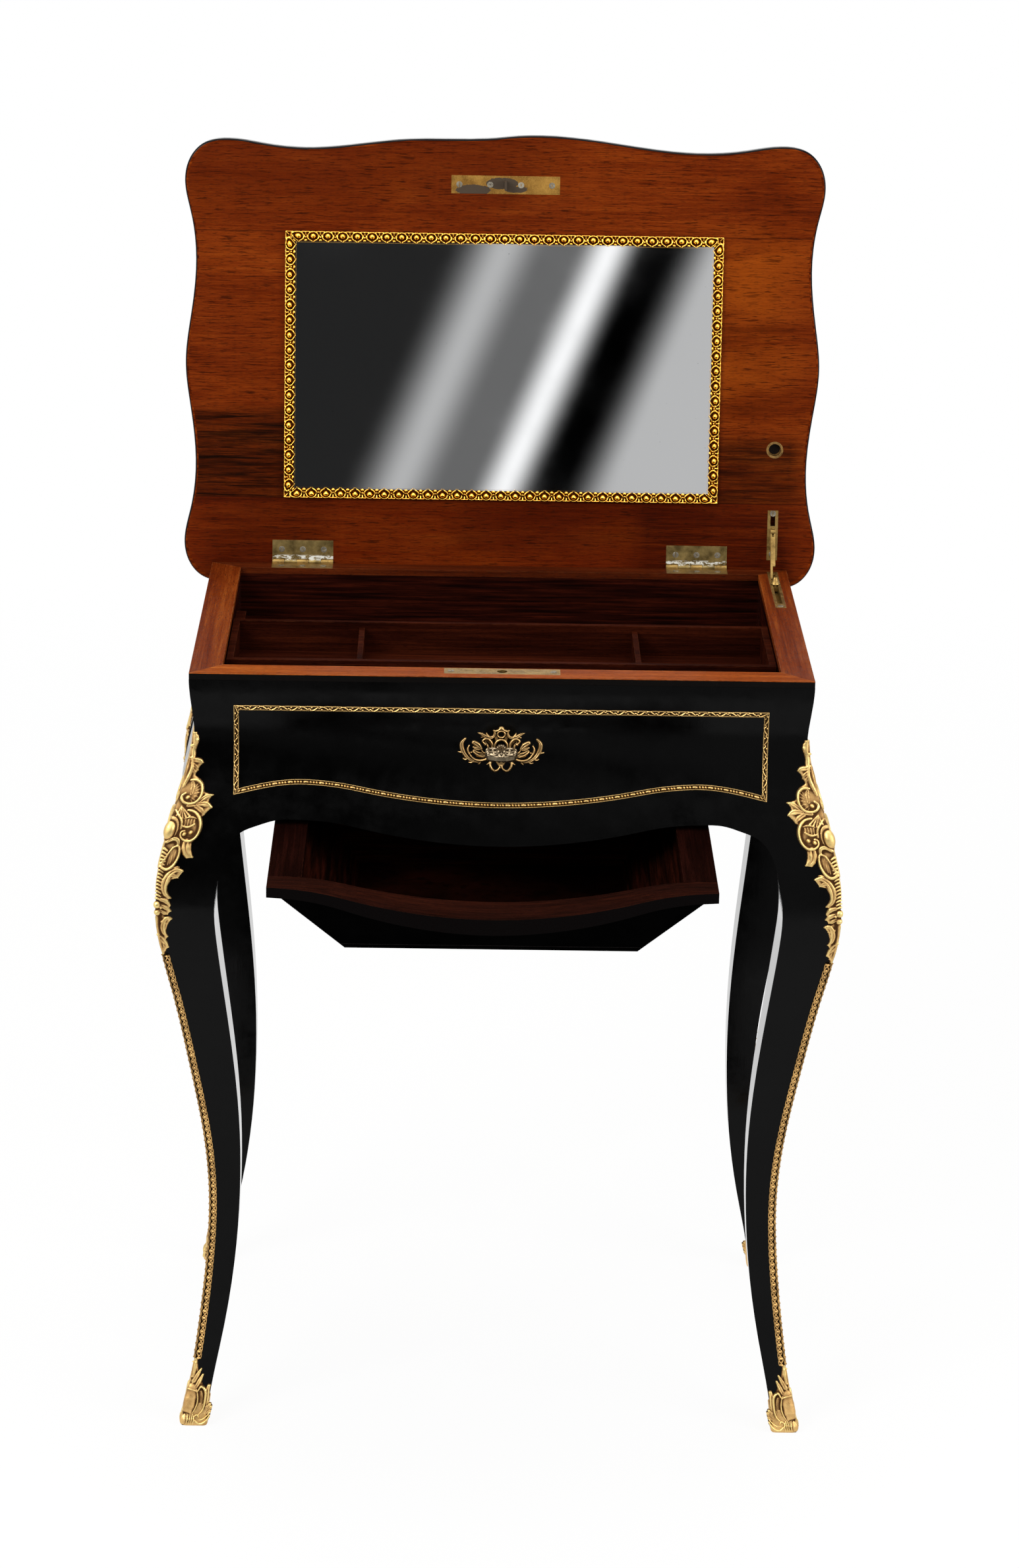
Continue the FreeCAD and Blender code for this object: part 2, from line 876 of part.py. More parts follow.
def bracket_slot(depth):
    """Slot in the bracket, and its room in the lid."""
    half = stay_arm_width / 2
    vs = (bracket_slot_foot, bracket_slot_foot + bracket_slot_length)
    return lid_box((stay_side - half, stay_side + half), vs, (0, depth))


slot_half = stay_arm_width / 2 + stay_air
slot_ss = (slider_open - 2 * stay_eye_radius, cup_v + 2 * knob_radius)


def make_channel():
    """Slotted plate in the rim, with the trough under it."""
    half = stay_plate_width / 2
    plate = box(
        (stay_side - half, stay_side + half),
        channel_ys,
        (rim_top - stay_plate_thickness, rim_top),
    )
    slot_ys = (axis_y - slot_ss[1], axis_y - slot_ss[0])
    trough = box(
        (stay_side - slot_half - channel_wall, stay_side + slot_half + channel_wall),
        (slot_ys[0] - channel_wall, slot_ys[1] + channel_wall),
        (rim_top - channel_depth, rim_top),
    )
    slot = box(
        (stay_side - slot_half, stay_side + slot_half),
        slot_ys,
        (rim_top - channel_depth + channel_floor, rim_top),
    )
    whole = fuse([plate, trough])
    nodes["stay_channel"] = cut_all(whole.cut(slot), case_screws)
    return [plate, trough]


def make_cup():
    """Brass cup in the lid that takes the slider's knob when the lid is shut."""
    centre = lid_point(stay_side, cup_v, 0)
    up = Vector(0, 0, 1)
    outer = cylinder(centre, up, cup_radius + cup_wall, cup_depth)
    flange = cylinder(centre, up, cup_flange, cup_flange_thickness)
    hollow = cylinder(centre, up, cup_radius, cup_depth - cup_wall)
    nodes["knob_cup"] = swing_open(fuse([outer, flange]).cut(hollow))
    return fuse([outer, flange])


def make_lid():
    """Panel with its rounded edge, veneer on the inner face, and the recesses."""
    panel = lid_outline(0, 0).extrude(Vector(0, 0, lid_thickness))
    top_z = lid_point(0, 0, lid_thickness).z
    low_z = lid_point(0, 0, 0).z
    upper = [e for e in panel.Edges if abs(e.BoundBox.ZMin - top_z) < lid_gap / 2]
    panel = panel.makeFillet(lid_edge_round, upper)
    lower = [e for e in panel.Edges if abs(e.BoundBox.ZMax - low_z) < lid_gap / 2]
    panel = panel.makeFillet(lid_back_round, lower)
    sheet = lid_outline(veneer_inset, 0).extrude(Vector(0, 0, veneer_thickness))
    tools = lid_recesses()
    nodes["lid_panel"] = swing_open(cut_all(panel, [sheet] + tools))
    nodes["lid_veneer"] = swing_open(split_veneer(cut_all(sheet, tools)))


def split_veneer(sheet):
    """Three sheets of veneer, with seams level with the mirror frame."""
    reach = 2 * lid_half_width
    lows = (-reach, mirror_foot, mirror_foot + mirror_height)
    highs = (mirror_foot, mirror_foot + mirror_height, reach)
    bands = [
        sheet.common(lid_box((-reach, reach), (low, high), (0, veneer_thickness)))
        for low, high in zip(lows, highs)
    ]
    return group(bands)


def lid_recesses():
    """Everything let into the lid's inner face."""
    tools = []
    for side in hinge_sides:
        edges = (side - hinge_length / 2, side + hinge_length / 2)
        leaf_vs = (0, knuckle_radius + hinge_leaf_width)
        tools.append(lid_box(edges, leaf_vs, (-lid_gap, hinge_leaf_thickness)))
        tools.append(knuckle_room(side, knuckle_radius + 2 * knuckle_air))
    half = lock_plate_width / 2
    plate_vs = (strike_v - half, strike_v + half)
    plate_us = (-strike_half, strike_half)
    tools.append(lid_box(plate_us, plate_vs, (-lid_gap, lock_plate_thickness)))
    stay_half = stay_plate_width / 2
    stay_us = (stay_side - stay_half, stay_side + stay_half)
    stay_vs = (bracket_foot, bracket_foot + bracket_length)
    tools.append(lid_box(stay_us, stay_vs, (-lid_gap, stay_plate_thickness)))
    tools.append(bracket_slot(cup_depth))
    tools.append(make_cup())
    return tools + lid_screws


def make_strike():
    """Plate on the lid, with the staple that drops into the lock."""
    half = lock_plate_width / 2
    plate = lid_box(
        (-strike_half, strike_half),
        (strike_v - half, strike_v + half),
        (0, lock_plate_thickness),
    )
    staple = lid_box(
        (-staple_thickness / 2, staple_thickness / 2),
        (strike_v - staple_width / 2, strike_v + staple_width / 2),
        (-staple_drop, 0),
    )
    eye_start = Vector(-staple_thickness, lock_y, bolt_height)
    eye = cylinder(eye_start, Vector(1, 0, 0), bolt_radius + 2 * stay_air, 2 * staple_thickness)
    whole = fuse([plate, staple]).cut(eye)
    nodes["strike_plate"] = swing_open(cut_all(whole, lid_screws))


def keyhole(ys):
    """Round hole with a slot under it, along Y."""
    bore = cylinder(
        Vector(0, ys[0], key_height), Vector(0, 1, 0), keyhole_radius, ys[1] - ys[0]
    )
    slot = box(
        (-keyhole_slot / 2, keyhole_slot / 2), ys, (key_height - keyhole_drop, key_height)
    )
    return fuse([bore, slot])


lock_back = inner_front
lock_front = inner_front - lock_case_depth


def make_lock():
    """Lock case in a mortise, plate in the rim, bolt and key."""
    half = lock_case_width / 2
    top = rim_top - lock_plate_thickness
    block = box((-half, half), (lock_front, lock_back), (lock_case_foot, top))
    wall = lock_case_wall
    room = box(
        (wall - half, half - wall),
        (lock_front + wall, lock_back - wall),
        (lock_case_foot + wall, top),
    )
    front_hole = keyhole((lock_front - overrun, lock_front + 2 * wall))
    nodes["lock_case"] = cut_all(block, [room, front_hole])
    plate_half = lock_plate_width / 2
    plate = box(
        (-strike_half, strike_half), (lock_y - plate_half, lock_y + plate_half), (top, rim_top)
    )
    hole = cylinder(
        Vector(0, lock_y, top - overrun),
        Vector(0, 0, 1),
        lock_plate_hole / 2,
        lock_plate_thickness + 2 * overrun,
    )
    nodes["lock_plate"] = cut_all(plate.cut(hole), case_screws)
    bolt_end = -(staple_thickness / 2 + bolt_travel / 3)
    bolt = cylinder(
        Vector(bolt_end - bolt_length, lock_y, bolt_height),
        Vector(1, 0, 0),
        bolt_radius,
        bolt_length,
    )
    nodes["lock_bolt"] = bolt
    return [block, plate]


def make_key():
    """Shaft along Y with its bit in the lock and its flat bow outside."""
    tip = lock_back - lock_case_wall - 2 * stay_air
    face = -half_depth - swell_at(key_height)
    bow_start = face - escutcheon_thickness - key_neck
    shaft = cylinder(
        Vector(0, bow_start, key_height), Vector(0, 1, 0), key_shaft_radius, tip - bow_start
    )
    bit = box(
        (-key_bit_reach, 0),
        (tip - key_bit_length, tip),
        (key_height - key_bit_thickness / 2, key_height + key_bit_thickness / 2),
    )
    half = key_bow_width / 2
    right = [(across * half, out * key_bow_length) for across, out in bow_shares]
    ring = right + [(-x, y) for x, y in reversed(right)]
    low = key_height - key_bow_thickness / 2
    bow = polygon([Vector(x, bow_start - y, low) for x, y in ring])
    nodes["key"] = fuse([shaft, bit, bow.extrude(Vector(0, 0, key_bow_thickness))])


def make_tray():
    """Open tray in three cells, on a ledge at each side."""
    side = inner_side - tray_air
    front = inner_front + tray_front_gap
    back = front + tray_length
    top = rim_top - tray_top_drop
    low = top - tray_height
    wall = tray_wall
    sides = (-side, side)
    nodes["tray_front"] = box(sides, (front, front + wall), (low, top))
    nodes["tray_back"] = box(sides, (back - wall, back), (low, top))
    ends_y = (front + wall, back - wall)
    ends = [
        box((-side, wall - side), ends_y, (low, top)),
        box((side - wall, side), ends_y, (low, top)),
    ]
    nodes["tray_ends"] = group(ends)
    floor = low + tray_bottom_thickness
    nodes["tray_bottom"] = box((wall - side, side - wall), ends_y, (low, floor))
    left = wall - side + left_cell
    right = side - wall - right_cell
    dividers = [
        box((left, left + divider_thickness), ends_y, (floor, top - divider_drop)),
        box((right - divider_thickness, right), ends_y, (floor, top - divider_drop)),
    ]
    nodes["tray_dividers"] = group(dividers)
    ledge_top = low - ledge_seat
    ledge_ys = (inner_front, back + ledge_block_length)
    left = box(
        (-inner_side, ledge_width - inner_side), ledge_ys, (ledge_top - ledge_height, ledge_top)
    )
    block = box(
        (-inner_side, ledge_width - inner_side),
        (back + tray_wall / 2, back + ledge_block_length),
        (ledge_top, low + ledge_block_height),
    )
    right = box(
        (inner_side - ledge_width, inner_side), ledge_ys, (ledge_top - ledge_height, ledge_top)
    )
    nodes["tray_ledges"] = group([fuse([left, block]), right])


# Bin: built pulled out. Its frame follows the apron's lower edge, a little below it.
bin_front_y = -(half_depth + swell_at(hump_height)) - bin_pull
bin_back_y = bin_front_y + bin_length
bin_top = hump_height - bin_air
bin_under = bin_top - bin_rail_thickness
bin_xs = (bin_centre - bin_half_width, bin_centre + bin_half_width)


def lip_wave(grow_dip, level):
    """Wave of the bin's lip, from left to right, as seen from the front."""
    hump = half_width - arch_shares[-1][0] * post_width
    right = [(hump, level)]
    right += [(hump * across, level - (front_dip + grow_dip) * drop) for across, drop in dip_shares]
    left = [(-x, z) for x, z in right[:-1]]
    return [Vector(bin_centre + x, -far, z) for x, z in left + right[::-1]]


def above_wave(line_points):
    """Everything above a wave of the lip, out to the inner side of the front wall."""
    left, right = line_points[0], line_points[-1]
    rise = Vector(0, 0, bin_height)
    edges = [
        smooth(line_points),
        line(right, right + rise),
        line(right + rise, left + rise),
        line(left + rise, left),
    ]
    back = bin_front_y + bin_rail_width + bin_wall + bin_splay / 2
    zone = box((-far, far), (-far, back), (0, far))
    return extrude_outline(edges, "front").common(zone)


def make_lip():
    """Front of the bin's frame: waved in height, bulged in plan."""
    top = lip_wave(0, bin_top)
    low = lip_wave(bin_lip_taper, bin_under)
    near = [Vector(bin_xs[0], -far, bin_top)] + [Vector(bin_xs[1], -far, bin_top)]
    under = [Vector(bin_xs[0], -far, bin_under)] + [Vector(bin_xs[1], -far, bin_under)]
    edges = [
        line(near[0], top[0]),
        smooth(top),
        line(top[-1], near[1]),
        line(near[1], under[1]),
        line(under[1], low[-1]),
        smooth(low),
        line(low[0], under[0]),
        line(under[0], near[0]),
    ]
    wave = extrude_outline(edges, "front")
    inner_y = bin_front_y + bin_rail_width
    level = bin_under - 2 * front_dip
    corners = [Vector(bin_xs[0], inner_y, level), Vector(bin_xs[1], inner_y, level)]
    ends = [Vector(bin_xs[0], bin_front_y, level), Vector(bin_xs[1], bin_front_y, level)]
    crest = Vector(bin_centre, bin_front_y - bin_lip_bulge, level)
    bulge = Part.Arc(ends[0], crest, ends[1]).toShape()
    plan_edges = [
        bulge,
        line(ends[1], corners[1]),
        line(corners[1], corners[0]),
        line(corners[0], ends[0]),
    ]
    plan = Part.Face(Part.Wire(Part.__sortEdges__(plan_edges)))
    lip = wave.common(plan.extrude(Vector(0, 0, 4 * front_dip + bin_rail_thickness)))
    nodes["bin_lip"] = lip
    return lip


def bin_corners(inset, z):
    """Corners of the bin's plan, drawn in by an inset."""
    left, right = bin_xs[0] + inset, bin_xs[1] - inset
    front, back = bin_front_y + inset, bin_back_y - inset
    return [
        Vector(left, front, z),
        Vector(right, front, z),
        Vector(right, back, z),
        Vector(left, back, z),
    ]


def tapered(inset_top, inset_low, top, low):
    """Upside-down blunt pyramid under the bin's frame."""
    upper = bin_corners(inset_top, top)
    lower = bin_corners(inset_low, low)
    faces = [polygon(upper), polygon(lower[::-1])]
    for i in range(4):
        j = (i + 1) % 4
        faces.append(polygon([lower[i], lower[j], upper[j], upper[i]]))
    return Part.Solid(Part.Shell(faces))


def make_rails():
    """Sides and back of the bin's frame."""
    rail = bin_rail_width
    inner_x = (bin_xs[0] + rail, bin_xs[1] - rail)
    ys = (bin_front_y + rail, bin_back_y)
    level = (bin_under, bin_top)
    rails = [
        box((bin_xs[0], inner_x[0]), ys, level),
        box((inner_x[1], bin_xs[1]), ys, level),
        box(inner_x, (bin_back_y - rail, bin_back_y), level),
    ]
    nodes["bin_rails"] = group(rails)


def make_bin():
    """Frame, four slanted walls mitred at the corners, and the bottom board."""
    lip = make_lip()
    make_rails()
    low = bin_top - bin_height
    floor = low + bin_bottom_thickness
    top = bin_under - bin_glue
    slope = bin_splay / (top - low)
    inset = bin_inset
    outer = tapered(inset, inset + bin_splay, top, low)
    inset += bin_wall * math.sqrt(1 + slope**2)
    inner = tapered(inset, inset + bin_splay, top, low)
    slab = box((-far, far), (-far, far), (low, floor))
    nodes["bin_bottom"] = outer.common(slab)
    walls = cut_all(outer, [inner, slab, lip, above_wave(lip_wave(0, bin_top))])
    # Both corners of a mitre lie on the diagonal line through a corner of the bin
    near = bin_corners(2 * (inset + bin_splay), low)
    away = bin_corners(-far, low)
    for i, name in enumerate(("front", "right", "back", "left")):
        j = (i + 1) % 4
        wedge = polygon([away[i], away[j], near[j], near[i]])
        wall = walls.common(wedge.extrude(Vector(0, 0, bin_height)))
        nodes["bin_wall_" + name] = wall


def make_runners():
    """Strips under the case floor. Each one's lip carries a rail of the bin."""
    start = runner_start - half_depth
    ys = (start, inner_back - runner_end_gap)
    lip_top = bin_under - runner_seat
    strips = []
    for side in (0, 1):
        sign = 2 * side - 1
        edge = bin_xs[side] + sign * runner_play
        web = sorted((edge, edge + sign * runner_web))
        lip = sorted((bin_xs[side] - sign * runner_lip, edge + sign * runner_web))
        strips.append(
            fuse(
                [
                    box(web, ys, (lip_top - runner_lip_thickness, floor_underside)),
                    box(lip, ys, (lip_top - runner_lip_thickness, lip_top)),
                ]
            )
        )
    nodes["bin_runners"] = group(strips)


def ribbon(view, inner_edge, top, low):
    """Outline on a face, from an inner edge to past the outer edge, made deep."""
    half, place, direction = views[view]
    beyond = half + knee_swell + 2 * mount_thickness
    points = [place(across, up) for across, up in inner_edge]
    corners = points + [place(beyond, top), place(beyond, low)]
    return polygon(corners).extrude(direction)


def wrap(inner_edge, thickness, low, top):
    """L-shaped mount on the arris of the leg at +X and +Y."""
    parts = []
    for view, other in (("front", "side"), ("side", "front")):
        half = views[view][0]
        edge = [(half + swell_at(z) - w, z) for z, w in inner_edge]
        face = ribbon(view, edge, top, low)
        parts.append(face.common(skin(other, thickness)).common(cover(view, thickness)))
    return fuse(parts)


def cover(view, thickness):
    """Everything inside the outer line grown by a thickness, on the positive side."""
    half, place = views[view][:2]
    away = [place(*point) for point in outer_points(half, thickness)]
    foot = place(0, 0)
    head = place(0, away[-1].z)
    edges = [smooth(away), line(away[-1], head), line(head, foot), line(foot, away[0])]
    return extrude_outline(edges, view)


strip_steps = 24
corner_names = ("back_right", "back_left", "front_right", "front_left")


def four_corners(shape):
    """The same mount on every leg."""
    left = mirror_x(shape)
    return [shape, left, mirror_y(shape), mirror_y(left)]


def make_mounts():
    """Knee mounts, beaded strips and sabots."""
    span = mount_top - mount_tip
    edge = [(mount_tip + share * span, width * mount_width) for share, width in mount_shares]
    knee = wrap(edge, mount_thickness, mount_tip, mount_top)
    for name, solid in zip(corner_names, four_corners(knee)):
        nodes["knee_mount_" + name] = solid
    rise = (mount_tip - sabot_height) / strip_steps
    strip_edge = [(sabot_height + i * rise, strip_width) for i in range(strip_steps + 1)]
    strip = wrap(strip_edge, strip_thickness, sabot_height, mount_tip)
    nodes["leg_strips"] = group(four_corners(strip))
    sabot = make_sabot()
    for name, solid in zip(corner_names, four_corners(sabot)):
        nodes["sabot_" + name] = solid


def sabot_top(view):
    """Slanted top of a sabot: high at the arris, low at the inner side."""
    half, place, direction = views[view]
    outer = half + swell_at(sabot_height) + 2 * sabot_wall
    inner = half - leg_width
    points = [
        place(outer, 0),
        place(outer, sabot_height),
        place(inner, sabot_inner_height),
        place(inner, 0),
    ]
    return polygon(points).extrude(direction)


def make_sabot():
    """Bronze shoe round the foot, closed under it."""
    shoe = leg_band("front", sabot_wall).common(leg_band("side", sabot_wall))
    shoe = shoe.common(sabot_top("front")).common(sabot_top("side"))
    return shoe.cut(frame_body).Solids[0]


def moulding_ring(view, dip):
    """Frame of brass moulding as seen square on, made deep."""
    half, place = views[view][:2]
    side = half - moulding_inset
    hump = half - arch_shares[-1][0] * post_width

    def outline(inset):
        low = rim_top - moulding_corner_drop + inset
        rise = rim_top - moulding_hump_drop + inset
        wave = [(hump * across, rise - dip * drop) for across, drop in dip_shares]
        right = [(side - inset, low), (hump, rise)] + wave
        bottom = right + [(-x, z) for x, z in reversed(right[:-1])]
        points = [place(x, z) for x, z in bottom]
        top = rim_top - moulding_top_drop - inset
        upper = [place(side - inset, top), place(inset - side, top)]
        edges = [
            smooth(points),
            line(points[-1], upper[1]),
            line(upper[1], upper[0]),
            line(upper[0], points[0]),
        ]
        return extrude_outline(edges, view)

    return outline(0).cut(outline(moulding_width))


def make_mouldings():
    """Brass frames on the front, back and sides."""
    front_ring = moulding_ring("front", moulding_front_dip)
    side_ring = moulding_ring("side", moulding_side_dip)
    back = front_ring.common(skin("side", moulding_thickness))
    right = side_ring.common(skin("front", moulding_thickness))
    nodes["moulding_front"] = mirror_y(back)
    nodes["moulding_back"] = back
    nodes["mouldings_side"] = group([right, mirror_x(right)])


def make_escutcheon():
    """Shaped plate round the keyhole, bent to the front."""
    half = escutcheon_width / 2
    height = escutcheon_top - escutcheon_foot
    right = [
        (across * half, escutcheon_foot + up * height) for across, up in escutcheon_shares
    ]
    ring = right + [(-x, z) for x, z in reversed(right[1:-1])]
    plate = polygon([Vector(x, -far, z) for x, z in ring]).extrude(Vector(0, 2 * far, 0))
    skin_front = mirror_y(skin("side", escutcheon_thickness))
    ys = (-half_depth - knee_swell - overrun, inner_front)
    nodes["escutcheon"] = plate.common(skin_front).cut(keyhole(ys))


def let_in_fittings():
    """Recesses in the rim, walls and posts for what is let into them."""
    carcase_names = list(nodes)
    tools = make_lock() + make_channel() + case_screws
    half_leaf = hinge_length / 2
    for side in hinge_sides:
        edges = (side - half_leaf, side + half_leaf)
        ys = (axis_y - knuckle_radius - hinge_leaf_width, axis_y)
        tools.append(box(edges, ys, (rim_top - hinge_leaf_thickness, axis_z)))
        tools.append(knuckle_room(side, knuckle_radius + knuckle_air))
    tools.append(keyhole((-half_depth - knee_swell - overrun, inner_front)))
    for name in carcase_names:
        nodes[name] = cut_all(nodes[name], tools)


def build():
    """Every piece. The fittings are let into the carcase before the rest is made."""
    make_legs()
    make_walls()
    make_rim()
    let_in_fittings()
    make_floor()
    make_lid()
    make_mirror()
    make_hinges()
    make_strike()
    make_key()
    make_arm()
    make_slider()
    make_bracket()
    nodes["lid_screws"] = swing_open(group(lid_screws))
    nodes["case_screws"] = group(case_screws)
    make_tray()
    make_bin()
    make_runners()
    make_mounts()
    make_mouldings()
    make_escutcheon()


build()
os.makedirs("parts", exist_ok=True)
for name, shape in nodes.items():
    shape.exportStep("parts/%s.step" % name)

print("nodes %d" % len(nodes))
print("hinge axis y %.3f z %.3f" % (axis_y, axis_z))
print("arm swing %.4f degrees, ratio %.5f" % (arm_swing, arm_swing / lid_open_angle))
print("slider travel %.4f mm, open %.3f closed %.3f" % (slider_travel, slider_open, slider_closed))
print("arm pivot y %.4f z %.4f" % (axis_y - pivot_open[0], axis_z + pivot_open[1]))
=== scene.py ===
import json
import math
from functools import partialmethod

import bpy
import numpy as np
from mathutils import Matrix, Vector


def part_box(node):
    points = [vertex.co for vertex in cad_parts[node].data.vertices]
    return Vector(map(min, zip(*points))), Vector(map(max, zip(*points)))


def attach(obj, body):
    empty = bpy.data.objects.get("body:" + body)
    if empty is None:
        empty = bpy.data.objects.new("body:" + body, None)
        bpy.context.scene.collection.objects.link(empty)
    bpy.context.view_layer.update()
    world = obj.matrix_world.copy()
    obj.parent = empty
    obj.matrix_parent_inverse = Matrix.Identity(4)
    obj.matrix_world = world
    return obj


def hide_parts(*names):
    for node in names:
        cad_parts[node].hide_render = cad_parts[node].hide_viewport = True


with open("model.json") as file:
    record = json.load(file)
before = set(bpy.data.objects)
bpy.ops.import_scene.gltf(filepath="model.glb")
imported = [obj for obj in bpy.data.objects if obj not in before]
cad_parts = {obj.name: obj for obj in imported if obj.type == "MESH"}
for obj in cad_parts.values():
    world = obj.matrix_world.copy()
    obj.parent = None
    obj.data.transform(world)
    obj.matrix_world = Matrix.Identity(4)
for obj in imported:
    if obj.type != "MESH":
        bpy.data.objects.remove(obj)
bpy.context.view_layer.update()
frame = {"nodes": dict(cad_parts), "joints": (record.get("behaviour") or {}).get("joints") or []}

# Looks of an ebonised dressing table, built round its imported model.
# Places on the object are in millimetres until a mesh is made; Blender works in metres.

MM = 0.001
half_width, half_depth = 274.0, 188.0
lid_opening = 96.0
key_height = 655.0
veneer_seams = 782.0, 1033.0
edge_slip = 0.3
rim_upper_edge = 719.4
nodes = frame["nodes"]
joints = {joint["name"]: joint for joint in frame["joints"]}


# Colours and node materials


def linear(rgb):
    """Shader colour for display values from 0 to 255."""
    shares = [value / 255 for value in rgb]
    return tuple(s / 12.92 if s <= 0.04045 else ((s + 0.055) / 1.055) ** 2.4 for s in shares) + (1.0,)


class Nodes:
    """A node tree being built, for a material or the world."""

    def __init__(self, owner):
        self.owner = owner
        owner.use_nodes = True
        self.tree = owner.node_tree
        self.tree.nodes.clear()

    def add(self, kind, **settings):
        node = self.tree.nodes.new(kind)
        for name, value in settings.items():
            setattr(node, name, value)
        return node

    def feed(self, socket, value):
        """Gives an input a link or a value; a tuple of three is an 8-bit colour."""
        if isinstance(value, bpy.types.NodeSocket):
            self.tree.links.new(value, socket)
        elif isinstance(value, tuple) and len(value) == 3 and socket.type == "RGBA":
            socket.default_value = linear(value)
        else:
            socket.default_value = value

    def math(self, operation, *values, clamp=False):
        node = self.add("ShaderNodeMath", operation=operation, use_clamp=clamp)
        for socket, value in zip(node.inputs, values):
            self.feed(socket, value)
        return node.outputs[0]

    times = partialmethod(math, "MULTIPLY")
    scaled = partialmethod(math, "MULTIPLY_ADD")
    plus = partialmethod(math, "ADD")
    minus = partialmethod(math, "SUBTRACT")
    ratio = partialmethod(math, "DIVIDE")
    above = partialmethod(math, "GREATER_THAN")
    below = partialmethod(math, "LESS_THAN")
    most = partialmethod(math, "MAXIMUM")
    least = partialmethod(math, "MINIMUM")

    def length(self, across, up):
        """Length of a way that has two parts."""
        return self.math("SQRT", self.plus(self.math("POWER", across, 2.0), self.math("POWER", up, 2.0)))

    def seen(self):
        """1 for rays from the camera, off gloss and through glass."""
        path = self.add("ShaderNodeLightPath").outputs
        reflected = self.most(path["Is Glossy Ray"], path["Is Transmission Ray"])
        return self.most(path["Is Camera Ray"], reflected)

    def mix_shaders(self, share, first, second):
        mixed = self.add("ShaderNodeMixShader")
        for number, value in enumerate((share, first, second)):
            self.feed(mixed.inputs[number], value)
        return mixed.outputs[0]


class Paint(Nodes):
    """A material being built. Lengths in its textures are in millimetres."""

    def __init__(self, name):
        super().__init__(bpy.data.materials.new(name))
        self.shader = self.add("ShaderNodeBsdfPrincipled")
        self.surface = self.add("ShaderNodeOutputMaterial").inputs[0]
        self.feed(self.surface, self.shader.outputs[0])
        scale = self.add("ShaderNodeVectorMath", operation="SCALE")
        self.feed(scale.inputs[0], self.add("ShaderNodeTexCoord").outputs["Object"])
        scale.inputs["Scale"].default_value = 1 / MM
        self.place = scale.outputs[0]
        split = self.add("ShaderNodeSeparateXYZ")
        self.feed(split.inputs[0], self.place)
        self.x, self.y, self.z = split.outputs

    def noise(self, size, detail=3.0, roughness=0.5, distortion=0.0, shift=(0, 0, 0), place=None):
        """Noise whose spots measure size, one length or one for each axis."""
        sizes = size if isinstance(size, tuple) else (size,) * 3
        spread = self.add("ShaderNodeVectorMath", operation="MULTIPLY_ADD")
        self.feed(spread.inputs[0], place or self.place)
        spread.inputs[1].default_value = tuple(1 / s for s in sizes)
        spread.inputs[2].default_value = shift
        node = self.add("ShaderNodeTexNoise")
        self.feed(node.inputs["Vector"], spread.outputs[0])
        settings = {"Scale": 1.0, "Detail": detail, "Roughness": roughness, "Distortion": distortion}
        for name, value in settings.items():
            node.inputs[name].default_value = value
        return node.outputs["Fac"]

    def ramp(self, share, *stops):
        """Colour or grey by share; each stop is a place and an 8-bit colour or a plain value."""
        node = self.add("ShaderNodeValToRGB")
        elements = node.color_ramp.elements
        for number, (place, value) in enumerate(stops):
            element = elements[number] if number < 2 else elements.new(place)
            element.position = place
            element.color = linear(value) if isinstance(value, tuple) else (value, value, value, 1.0)
        self.feed(node.inputs[0], share)
        return node.outputs[0]

    def mix(self, share, a, b):
        """Colour a, or b where share is 1."""
        node = self.add("ShaderNodeMix", data_type="RGBA")
        for number, value in ((0, share), (6, a), (7, b)):
            self.feed(node.inputs[number], value)
        return node.outputs[2]

    def band(self, value, low, high, soft):
        """1 where value is between low and high, with soft sides."""
        rise = self.ratio(self.minus(value, low), soft, clamp=True)
        fall = self.ratio(self.minus(high, value), soft, clamp=True)
        return self.times(rise, fall)

    def rounded(self, radius):
        """Normals as if the corners were rounded."""
        bevel = self.add("ShaderNodeBevel", samples=4)
        bevel.inputs["Radius"].default_value = radius * MM
        return bevel.outputs[0]

    def edge(self, radius, low, high):
        """1 on the corners of the shape, by how much a rounded corner would turn."""
        turn = self.add("ShaderNodeVectorMath", operation="DOT_PRODUCT")
        self.feed(turn.inputs[0], self.rounded(radius))
        self.feed(turn.inputs[1], self.add("ShaderNodeNewGeometry").outputs["Normal"])
        return self.ramp(self.minus(1.0, turn.outputs["Value"]), (low, 0.0), (high, 1.0))

    def facing(self):
        """Parts x, y and z of the way that the surface faces, in the frame of its own body."""
        split = self.add("ShaderNodeSeparateXYZ")
        self.feed(split.inputs[0], self.add("ShaderNodeTexCoord").outputs["Normal"])
        return split.outputs

    def finish(self, colour, roughness, heights=(), soft=0.0, **inputs):
        """Sets the shader's inputs. heights are (socket, depth in mm); soft rounds corners."""
        normal = self.rounded(soft) if soft else None
        for height, depth in heights:
            bump = self.add("ShaderNodeBump")
            bump.inputs["Strength"].default_value = 1.0
            bump.inputs["Distance"].default_value = depth * MM
            self.feed(bump.inputs["Height"], height)
            if normal:
                self.feed(bump.inputs["Normal"], normal)
            normal = bump.outputs[0]
        self.feed(self.shader.inputs["Base Color"], colour)
        self.feed(self.shader.inputs["Roughness"], roughness)
        if normal:
            self.feed(self.shader.inputs["Normal"], normal)
        for name, value in inputs.items():
            self.feed(self.shader.inputs[name.replace("_", " ")], value)
        return self.owner


def along(axis, length, across):
    """Spot sizes for wood grain that runs along an axis."""
    return tuple(length if name == axis else across for name in "xyz")


